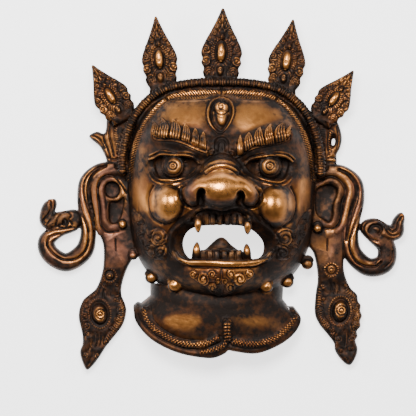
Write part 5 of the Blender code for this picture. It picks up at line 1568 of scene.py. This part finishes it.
RIBBONS = (
    Ribbon((((-80, 17), 4.5, 1.0), ((-92, 15), 4.5, 1.5), ((-101, 6), 5.5, 1.5),
    ((-102.5, -8), 5.6, 1.5), ((-100.8, -21), 5.8, 1.5), ((-99.8, -34), 5.9, 1.5),
    ((-103.5, -46.5), 7.0, 1.0), ((-116, -54.5), 7.0, 0.5), ((-128, -48.5), 7.0, 0.5),
    ((-131, -38.5), 6.4, 0.5), ((-122, -31), 5.0, 1.5), ((-111, -26), 5.2, 2.0),
    ((-110, -20.5), 5.6, 2.0), ((-118, -21.5), 5.6, 2.0), ((-129, -23.5), 6.6, 1.5),
    ((-130, -16), 5.6, 1.0), ((-127.4, -10), 4.4, 0.5), ((-127.2, -7), 2.6, 0.5)),
        ((((-106.8, -7), (-105.4, -15.8), (-102, -23.4), (-99.7, -31), (-99.7, -38.6), (-102, -46),
        (-108.4, -51.6), (-115.9, -52.6), (-122.5, -50.4), (-130, -42.6), (-128.6, -35.6),
        (-121, -33.2)), 1.3, 2.2), (((-86, 18.6), (-92, 17), (-98.2, 12.6), (-102, 7),
        (-103.2, 0.6), (-102.4, -6), (-100.2, -13), (-97.4, -20), (-96, -26)), 1.2, 1.9),
        (((-89, 16.6), (-96, 11.4), (-99.9, 3.4), (-100.4, -4), (-98.9, -12)), 1.0, 1.3),
        (((-124.2, -27.4), (-122.6, -22), (-119.6, -17.2), (-115.4, -16.6), (-112.6, -19.4),
        (-114.4, -22.4), (-111.6, -26.2), (-115, -28.6), (-122, -28)), 1.0, 1.6), (((-118.2, -26),
        (-117.4, -22.6), (-115.6, -24.6), (-116.2, -27)), 1.6, 1.7), (((-128, -9), (-127.4, -14),
        (-129.8, -19), (-133.2, -22.6), (-132.6, -25)), 1.3, 1.5), (((-124.8, -12),
        (-124.6, -16.6), (-126.8, -21.4), (-131, -26)), 0.9, 0.9), (((-132, -30.8), (-126, -30.4),
        (-120, -29.4), (-110, -28.6)), 1.1, 1.5)),
        ((((-104, -18), (-102.6, -26), (-102.6, -35), (-104.2, -43)), 3.2, 0.3), (((-97.6, -26),
        (-96.4, -34), (-98.4, -44), (-105, -53), (-115, -58)), 3.2, 0.1))),
    Ribbon((((80, 15), 4.5, 1.0), ((91, 13.5), 4.5, 1.5), ((100, 5), 5.6, 1.5),
    ((101.5, -8), 5.6, 1.5), ((98.5, -21), 5.8, 1.5), ((96, -34), 6.6, 1.5),
    ((98.5, -48), 7.0, 1.0), ((110, -58), 7.0, 0.5), ((122, -55), 7.4, 0.5),
    ((123.5, -43), 7.0, 0.5), ((114, -34), 5.8, 1.5), ((109, -28.5), 5.6, 2.0),
    ((115, -27), 5.6, 2.0), ((123, -31.5), 5.8, 1.8), ((130.5, -32), 5.8, 1.5),
    ((132.4, -24.5), 4.7, 1.0), ((134.8, -20), 3.4, 0.5), ((136.4, -18.6), 1.8, 0.5)),
        ((((105, -14.6), (102, -23.4), (98.2, -31), (95.6, -38.6), (96.4, -46.2), (100.7, -53.6),
        (108.3, -57.4), (115.6, -57.2), (119.6, -54)), 1.3, 2.2), (((92, 14.4), (98.6, 9.6),
        (102.4, 2), (102.4, -7), (99.4, -16), (96.4, -25)), 1.0, 1.2), (((116.6, -38.6),
        (110.8, -36.8), (106.8, -31.6), (107.4, -26.4), (112.1, -23.4), (118.4, -22.8), (122, -26),
        (123.8, -31.6), (128, -34.6), (132.6, -33.6)), 1.0, 1.6), (((110.6, -31), (112.6, -27.4),
        (117, -26.6), (119.6, -29.4), (118, -33)), 1.8, 1.9), (((135, -20.4), (132.4, -24.4),
        (131.4, -29), (127.8, -31.6), (124, -28)), 1.1, 1.4),
        (((117.4, -44), (118.2, -50), (114.6, -55.6)), 0.9, 0.9),
        (((128, -46), (127.4, -53), (122, -58.6)), 0.9, 1.0)),
        ((((104, -20), (100.6, -29), (98.2, -38), (99, -46.6), (104, -53.4), (112, -55)), 2.2,
        0.9), (((102.8, -16), (98.6, -24), (95.2, -32), (93.6, -40)), 1.8, 0.6), (((88, 9.2),
        (94.6, 4.4), (97, -1), (95.4, -8), (93.2, -17), (91.4, -25)), 2.4, 0.7))))


@dataclass
class Neck:
    """The neck with its flared collar and beaded edge."""

    top: Plan = ((-53.5, -70), (-40, -72), (-20, -74), (-4, -74.5), (12, -74), (32, -73),
        (46.5, -72))
    waist: Plan = ((-53.5, -79), (-41, -84), (-22, -88), (-4, -89), (14, -88), (34, -85),
        (46, -82))
    edge: Plan = ((-62.5, -86.5), (-62, -97), (-51, -110), (-32, -119.5), (-10, -123.5), (0, -121),
        (4.5, -117.5), (10, -118.5), (26, -120), (42, -114), (52.5, -106), (57, -97.5),
        (54, -92.5))
    rise: float = 31.0
    collar_rise: float = 27.0
    wall: float = 4.0
    cords: tuple = ((((-57.5, -89), (-55.5, -98), (-46, -107), (-30, -114.8), (-14, -115.5),
        (-2, -110.5)), 2.6, 2.4, 0.6), (((-16, -121), (-6, -119.8), (1.5, -116), (4.2, -110)), 2.4,
        2.2, 0.6), (((8.5, -113), (20, -115.4), (33, -114), (43, -109), (51, -101.5),
        (55.5, -95.5)), 3.0, 3.0, -0.6))
    strap: Plan = ((4.2, -97.6), (4.2, -105), (4.8, -112))
    strap_radius: float = 3.4

    def rows(self) -> list[Rows]:
        """The skin's rows, from under the chin to the collar's edge."""
        across = np.linspace(0, 1, 161)
        lines = []
        for line in (self.top, self.waist, self.edge):
            dense = smooth_line(line, 0.4)
            run = np.concatenate([[0], np.cumsum(np.hypot(*np.diff(dense, axis=0).T))])
            lines.append(np.column_stack([np.interp(across * run[-1], run, dense[:, k])
                                          for k in (0, 1)]))
        arch = np.clip(1 - np.abs(2 * across - 1) ** 2.6, 0, 1) ** 0.5
        levels = (self.rise, 0.92 * self.rise, self.collar_rise)
        rows = []
        for step in np.linspace(0, 2, 49):
            first = min(int(step), 1)
            ease = step - first
            plan = lines[first] * (1 - ease) + lines[first + 1] * ease
            level = levels[first] * (1 - ease) + levels[first + 1] * ease
            height = (level + 4 * math.sin(math.pi * step / 2)) * arch
            rows.append(np.column_stack([plan, height]))
        return rows

    def model(self, clay: Clay) -> None:
        """Adds the skin with its wall, the rolled edge and the strap."""
        rows = self.rows()
        rings = []
        for row in rows:
            ahead = np.gradient(row, axis=0)
            ahead /= np.linalg.norm(ahead, axis=1)[:, None] + 1e-9
            inward = np.column_stack([ahead[:, 2], np.zeros(len(row)), -ahead[:, 0]])
            inward[inward[:, 2] > 0] *= -1
            inner = row + inward * self.wall
            inner[:, 2] = np.maximum(inner[:, 2], 0)
            rings.append(np.vstack([row, inner[::-1]]))
        clay.skin(rings)
        edge = rows[-1]
        clay.rod(edge + [0, 0, -1.4], 2.7)
        flat = np.vstack(rows)
        rods = [(line, radius) for line, radius, _, _ in self.cords]
        for line, radius in (*rods, (self.strap, self.strap_radius)):
            path = smooth_line(line)
            level = [flat[np.argmin(((flat[:, :2] - spot) ** 2).sum(axis=1)), 2] for spot in path]
            level = np.convolve(np.pad(level, 3, mode="edge"), np.ones(7) / 7, mode="valid")
            clay.rod(np.column_stack([path, level + 0.3]), radius, flat=0.8)

    def chase(self, chisel: Chisel) -> None:
        """Cuts the beaded cords."""
        for line, _, half, slant in self.cords:
            chisel.comb(line, half, 2.2, 1.0, slant)
            chisel.comb(line, half, 2.6, 0.7, -slant)
        chisel.comb([(4.2, -99.5), (4.2, -105), (4.8, -113)], 3.0, 2.4, 0.9)
        chisel.groove([(4.4, -99.5), (4.6, -113)], 0.7, 0.7)
        chisel.groove([(-62.5, -86.5), (-60.2, -96.5), (-49.5, -108.6), (-31.5, -117.6),
                       (-12, -120)], 0.8, 0.6)
        chisel.groove([(-53, -88), (-50.5, -98), (-42, -105.5), (-29, -111.6), (-14, -112.4)],
                      1.1, 0.8)


# Finish


@dataclass(frozen=True)
class Patina:
    """Bronze with a dark patina, rubbed back to gold on what stands out; the gold also carries
    painted highlights and the dark painted shade.
    """

    gold: tuple[float, float, float] = (0.74, 0.30, 0.075)
    bronze: tuple[float, float, float] = (0.20, 0.065, 0.018)
    # colour of the dark patina, also used for painted shade
    dark: tuple[float, float, float] = (0.010, 0.0055, 0.0035)
    copper: tuple[float, float, float] = (0.30, 0.115, 0.065)

    def material(self, name: str) -> bpy.types.Material:
        """The finish as a node material that reads the piece's gold (polish and painted
        highlight), dark (patina and painted shade) and copper values.
        """
        material = bpy.data.materials.new(name)
        material.use_nodes = True
        tree = material.node_tree
        nodes, links = tree.nodes, tree.links
        shader = nodes["Principled BSDF"]

        def node(kind: str, **values: object) -> bpy.types.Node:
            """A new node with its values set."""
            made = nodes.new(kind)
            for key, value in values.items():
                setattr(made, key, value)
            return made

        def maths(operation: str, one: object, two: object, clamp: bool = False) -> object:
            """The result of one sum, from sockets or numbers."""
            made = node("ShaderNodeMath", operation=operation, use_clamp=clamp)
            for socket, value in zip(made.inputs, (one, two)):
                if isinstance(value, (int, float)):
                    socket.default_value = value
                else:
                    links.new(value, socket)
            return made.outputs[0]

        def noise(scale: float, detail: float) -> object:
            """A noise over the object."""
            made = node("ShaderNodeTexNoise")
            made.inputs["Scale"].default_value = scale
            made.inputs["Detail"].default_value = detail
            links.new(place.outputs["Object"], made.inputs["Vector"])
            return made.outputs["Fac"]

        def mix(factor: object, one: object, two: object) -> object:
            """Two colours mixed by a factor."""
            made = node("ShaderNodeMix", data_type="RGBA")
            links.new(factor, made.inputs["Factor"])
            for socket, value in ((made.inputs["A"], one), (made.inputs["B"], two)):
                if isinstance(value, tuple):
                    socket.default_value = (*value, 1.0)
                else:
                    links.new(value, socket)
            return made.outputs["Result"]

        place = node("ShaderNodeTexCoord")
        polish_and_highlight, sunk, copper = (node("ShaderNodeAttribute", attribute_name=key).outputs["Fac"]
                              for key in ("polish_and_highlight", "sunk", "copper"))
        cloud = noise(38.0, 5.0)
        blotch = noise(105.0, 4.0)
        grain = noise(320.0, 5.0)
        speckle = noise(1100.0, 3.0)
        patch = maths("MULTIPLY", maths("SUBTRACT", cloud, 0.5), 2.5)
        stain = maths("MULTIPLY", maths("SUBTRACT", blotch, 0.5), 0.7)
        fleck = maths("MULTIPLY", maths("SUBTRACT", grain, 0.5), 0.7)
        pits = maths("MULTIPLY", maths("SUBTRACT", noise(240.0, 2.0), 0.66), 7.0, clamp=True)
        # gold share: rubbed polish and painted highlight, mottled by noise
        gold_and_highlight = maths("ADD", maths("ADD", polish_and_highlight, patch), fleck, clamp=True)
        # dark share: patina and painted shade, mottled by noise and pits
        shade_and_patina = maths("ADD", maths("ADD", sunk, stain), maths("MULTIPLY", fleck, 0.8))
        shade_and_patina = maths("ADD", shade_and_patina, maths("MULTIPLY", pits, 0.2), clamp=True)
        base = mix(copper, self.bronze, self.copper)
        polish_and_highlight_colour = mix(gold_and_highlight, base, self.gold)
        colour = mix(shade_and_patina, polish_and_highlight_colour, self.dark)
        links.new(colour, shader.inputs["Base Color"])
        shader.inputs["Specular IOR Level"].default_value = 0.25
        shine = maths("SUBTRACT", 0.37, maths("MULTIPLY", gold_and_highlight, 0.11))
        rough = maths("ADD", shine, maths("MULTIPLY", shade_and_patina, 0.22))
        links.new(maths("ADD", rough, maths("MULTIPLY", fleck, 0.25), clamp=True),
                  shader.inputs["Roughness"])
        metal = maths("SUBTRACT", 0.95, maths("MULTIPLY", shade_and_patina, 0.4), clamp=True)
        links.new(metal, shader.inputs["Metallic"])
        bump = node("ShaderNodeBump")
        bump.inputs["Strength"].default_value = 0.35
        bump.inputs["Distance"].default_value = 0.0006
        links.new(maths("ADD", grain, maths("MULTIPLY", speckle, 0.4)), bump.inputs["Height"])
        links.new(bump.outputs["Normal"], shader.inputs["Normal"])
        return material


@dataclass
class Tones:
    """How the patina follows the relief, with painted highlights and painted shade among its spots
    and tones.
    """

    # Gold spots: rubbed polish on the high forms; the left cheek's stronger spot, for light from
    # the upper left, and the two spots on the neck's bulge are painted highlights
    gold_spots: tuple = (((-30, 57), (32, 19), 0.95), ((30, 54), (32, 20), 0.95),
        ((-59, 20), (11, 30), 0.45), ((60, 20), (11, 30), 0.45), ((-60, -6), (9, 20), 0.45),
        ((61, -6), (9, 20), 0.4), ((-42, -11), (18, 19), 1.6), ((42, -13), (18, 19), 0.95),
        ((0, 6), (27, 16), 1.5), ((-36, 1), (16, 6), 0.6), ((38, 0), (16, 6), 0.5),
        ((0, -55), (32, 4), 0.9), ((-62, -8), (8, 14), 0.5), ((62, -6), (8, 14), 0.5),
        ((0, 60), (8, 8), 0.4), ((-36, 18), (9, 9), 0.5), ((36, 17.5), (9, 9), 0.5),
        ((-29, -98), (17, 7), 1.9), ((25, -98), (13, 5), 0.8), ((-24, -73), (20, 9), 0.8),
        ((24, -73), (20, 9), 0.7), ((-47, -57), (11, 10), 0.5), ((48, -59), (11, 9), 0.5),
        ((24, 0), (7, 8), 0.3))
    # Dark spots: painted shadow under the jaw across the top of the neck, painted shade with dirt
    # on the jaw's lower sides; the others darken the listed places
    shade_and_patina_spots: tuple = (((-122, -19), (20, 14), 0.5), ((122, -26), (20, 14), 0.55),
        ((-118, -50), (26, 16), 0.2), ((118, -54), (22, 14), 0.3), ((-80, -5), (14, 26), 0.15),
        ((80, -5), (14, 26), 0.3), ((-17, 20), (10, 13), 0.6), ((17, 20), (10, 13), 0.6),
        ((-50, -62), (26, 20), 0.6), ((50, -62), (26, 20), 0.6), ((0, -82), (66, 12), 0.5),
        ((0, -12), (28, 6), 0.45), ((-62, -22), (12, 22), 0.35), ((62, -22), (12, 22), 0.35),
        ((-50, 14), (8, 14), 0.3), ((52, 14), (8, 14), 0.3), ((0, 34), (14, 12), 0.75),
        ((-14, 52), (5, 14), 0.35), ((12, 45), (6, 8), 0.3), ((0, -20), (24, 8), 0.8),
        ((0, -48), (24, 6), 0.85), ((0, -87), (62, 11), 1.5), ((-22, -9), (8, 7), 0.35),
        ((-36, 33), (14, 5), 0.25), ((38, 32), (14, 5), 0.25), ((-33, -41), (5, 16), 0.8),
        ((35, -41), (6, 16), 0.8), ((-40, -58), (20, 14), 0.25), ((40, -58), (20, 14), 0.25))
    copper_spots: tuple = (((-92, -12), (34, 44), 1.0), ((94, -18), (34, 44), 0.8),
        ((-124, -35), (20, 36), 1.0), ((-22, -4), (10, 9), 0.9), ((0, -14), (20, 6), 0.9),
        ((120, -45), (20, 30), 0.5), ((-80, -45), (14, 18), 0.8), ((-67, -48), (7, 7), 0.9))

    def paint(self, chisel: Chisel) -> None:
        """Adds the broad spots of gold, dark and copper: rubbed polish, patina and copper tints,
        with painted highlights and painted shade among them.
        """
        for kind, spots in (("gold", self.gold_spots), ("shade_and_patina", self.shade_and_patina_spots),
                ("copper", self.copper_spots)):
            for middle, half, amount in spots:
                chisel.tint(kind, middle, half, amount)

    def read(self, chisel: Chisel, outer: Rows) -> dict[str, Rows]:
        """The three values that the finish reads, for every point.

        Args:
            chisel: the chased body.
            outer: whether each point is on the smooth face, and not on crown, sides or collar.

        Returns:
            the gold share (polish and painted highlight), the dark share (patina and painted
            shade) and copper, each from 0 to 1.
        """
        tones = chisel.read_tones()
        fine, middle, broad = (tones[key] for key in ("fine", "middle", "broad"))
        hollow = 2.6 * fine + 0.9 * middle + 0.28 * broad
        hollow -= np.where(outer, 0, 0.28 * broad)
        edge = np.clip((-hollow - 0.3) / 0.9, 0, 1) * (1 - 0.55 * np.clip(chisel.shade_and_patina, 0, 1))
        x, y = np.abs(chisel.places[:, 0]), chisel.places[:, 1]
        sides = (x > 66) & (y < 16) & (y > -58)
        neck = (y < -78) & (x < 60)
        crown = (y > 84) | ((y < -58) & (x > 66))
        base = np.select((outer, sides, neck, crown), (0.48, 0.80, 0.92, 1.25), 1.08)
        edge *= np.where(crown, 0.8, 1.0)
        polish_and_highlight = chisel.gold + 0.7 * edge - 0.2
        polish_and_highlight -= 0.7 * np.clip(hollow, 0, 2)
        # dark tone: region base, the dark value, dark patina in hollows that also stands for
        # painted shade there, lightened on rubbed edges
        sunk = base + chisel.shade_and_patina + 1.1 * np.clip(hollow, 0, 2) - 0.8 * edge
        sunk -= 0.6 * chisel.gold
        # painted shade: steep sides are darkened, less on the temples and the nose
        temple = outer & (x > 50) & (y > -16) & (y < 44)
        steep_shade = np.clip((0.88 - chisel.normals[:, 2]) / 0.35, 0, 1)
        nose = (x < 30) & (y > -10) & (y < 24)
        sunk = np.clip(sunk, 0, 1) + np.select((temple, nose), (0.4, 0.6), 1.0) * steep_shade
        back = chisel.normals[:, 2] < -0.1
        sunk = np.where(back, 0.55, sunk)
        polish_and_highlight = np.where(back, 0.05, polish_and_highlight)
        return {"polish_and_highlight": np.clip(polish_and_highlight, 0, 1), "sunk": np.clip(sunk, 0, 0.97),
                "copper": np.clip(chisel.copper, 0, 1)}


# The whole


@dataclass
class Casting:
    """The mask as one piece."""

    voxel: float = 0.56
    triangles: int = 196000
    face_share: float = 0.95

    def build(self) -> bpy.types.Object:
        """Models, fuses, chases and thins the casting, and gives it its finish."""
        head = Head()
        parts = [head, *make_eyes(head), *make_brows(head), ThirdEye(head), Nose(), Mouth(head),
                 Beard(head), CrownBand(head), *LEAVES, *BOWS, *EARS, *RIBBONS, Neck()]
        clay = Clay()
        for part in parts:
            if hasattr(part, "model"):
                part.model(clay)
        LOG.info("clay: %d points", clay.count)
        shape = clay.fuse("mask_bronze", self.voxel)
        LOG.info("fused: %d points", len(shape.data.vertices))
        chisel = Chisel(shape)
        for part in parts:
            if hasattr(part, "chase"):
                part.chase(chisel)
        tones = Tones()
        tones.paint(chisel)
        chisel.apply()
        outline = smooth_line(self.face_share * head.outline()[::6], 1.5, closed=True)
        outer = inside(chisel.places[:, :2], outline)
        for key, tone in tones.read(chisel, outer).items():
            layer = shape.data.attributes.new(key, "FLOAT", "POINT")
            layer.data.foreach_set("value", tone)
        LOG.info("chased")
        select(shape)
        faces = sum(len(face.vertices) - 2 for face in shape.data.polygons)
        thin = shape.modifiers.new("thin", "DECIMATE")
        thin.ratio = min(1.0, self.triangles / faces)
        bpy.ops.object.modifier_apply(modifier=thin.name)
        bpy.ops.object.shade_smooth()
        LOG.info("thinned: %d faces", len(shape.data.polygons))
        shape.data.materials.clear()
        shape.data.materials.append(Patina().material("patinated_bronze"))
        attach(shape, "root")
        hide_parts("mask_casting")
        return shape


@dataclass
class Studio:
    """Pale floor, soft lights and the camera."""

    middle: Spot = (-10.1, -13.8)
    across: float = 311.1
    lens: float = 800.0
    level: float = 18.0
    floor_glow: float = 2.1
    haze: float = 0.10
    lights: tuple = (("key", (-0.08, 0.36, 0.98), 0.5, 20.0),
        ("left", (-0.85, 0.30, 0.6), 0.45, 5.0), ("right", (0.85, 0.25, 0.6), 0.45, 3.5))

    def build(self) -> None:
        """Makes the floor, the world, the lights and the camera."""
        deselect()
        bpy.ops.mesh.primitive_plane_add(size=6.0, location=(0, 0, -0.0002))
        floor = bpy.context.object
        floor.name = "floor"
        paper = bpy.data.materials.new("pale_paper")
        paper.use_nodes = True
        sockets = paper.node_tree.nodes["Principled BSDF"].inputs
        sockets["Base Color"].default_value = (0.9, 0.9, 0.9, 1.0)
        sockets["Emission Color"].default_value = (1.0, 1.0, 1.0, 1.0)
        sockets["Emission Strength"].default_value = self.floor_glow
        sockets["Roughness"].default_value = 0.9
        floor.data.materials.append(paper)
        world = bpy.data.worlds.new("studio")
        bpy.context.scene.world = world
        world.use_nodes = True
        sockets = world.node_tree.nodes["Background"].inputs
        sockets["Color"].default_value = (0.9, 0.93, 1.0, 1.0)
        sockets["Strength"].default_value = self.haze
        for name, place, size, power in self.lights:
            deselect()
            bpy.ops.object.light_add(type="AREA", location=place)
            light = bpy.context.object
            light.name = name
            light.data.shape = "RECTANGLE"
            light.data.size = size
            light.data.size_y = 0.7 * size
            light.data.energy = power
            light.rotation_euler = (-Vector(place)).to_track_quat("-Z", "Y").to_euler()
        distance = self.lens * self.across * MM / SENSOR
        x, y = self.middle
        bpy.ops.object.camera_add(location=(x * MM, y * MM, distance + self.level * MM))
        camera = bpy.context.object
        camera.data.lens = self.lens
        camera.data.sensor_width = SENSOR
        camera.data.clip_end = 20.0
        bpy.context.scene.camera = camera


def main() -> None:
    """Builds the casting and the studio."""
    logging.basicConfig(level=logging.INFO, format="%(name)s: %(message)s")
    mask = Casting().build()
    LOG.info("%s: %d faces", mask.name, len(mask.data.polygons))
    Studio().build()


if __name__ == "__main__":
    main()
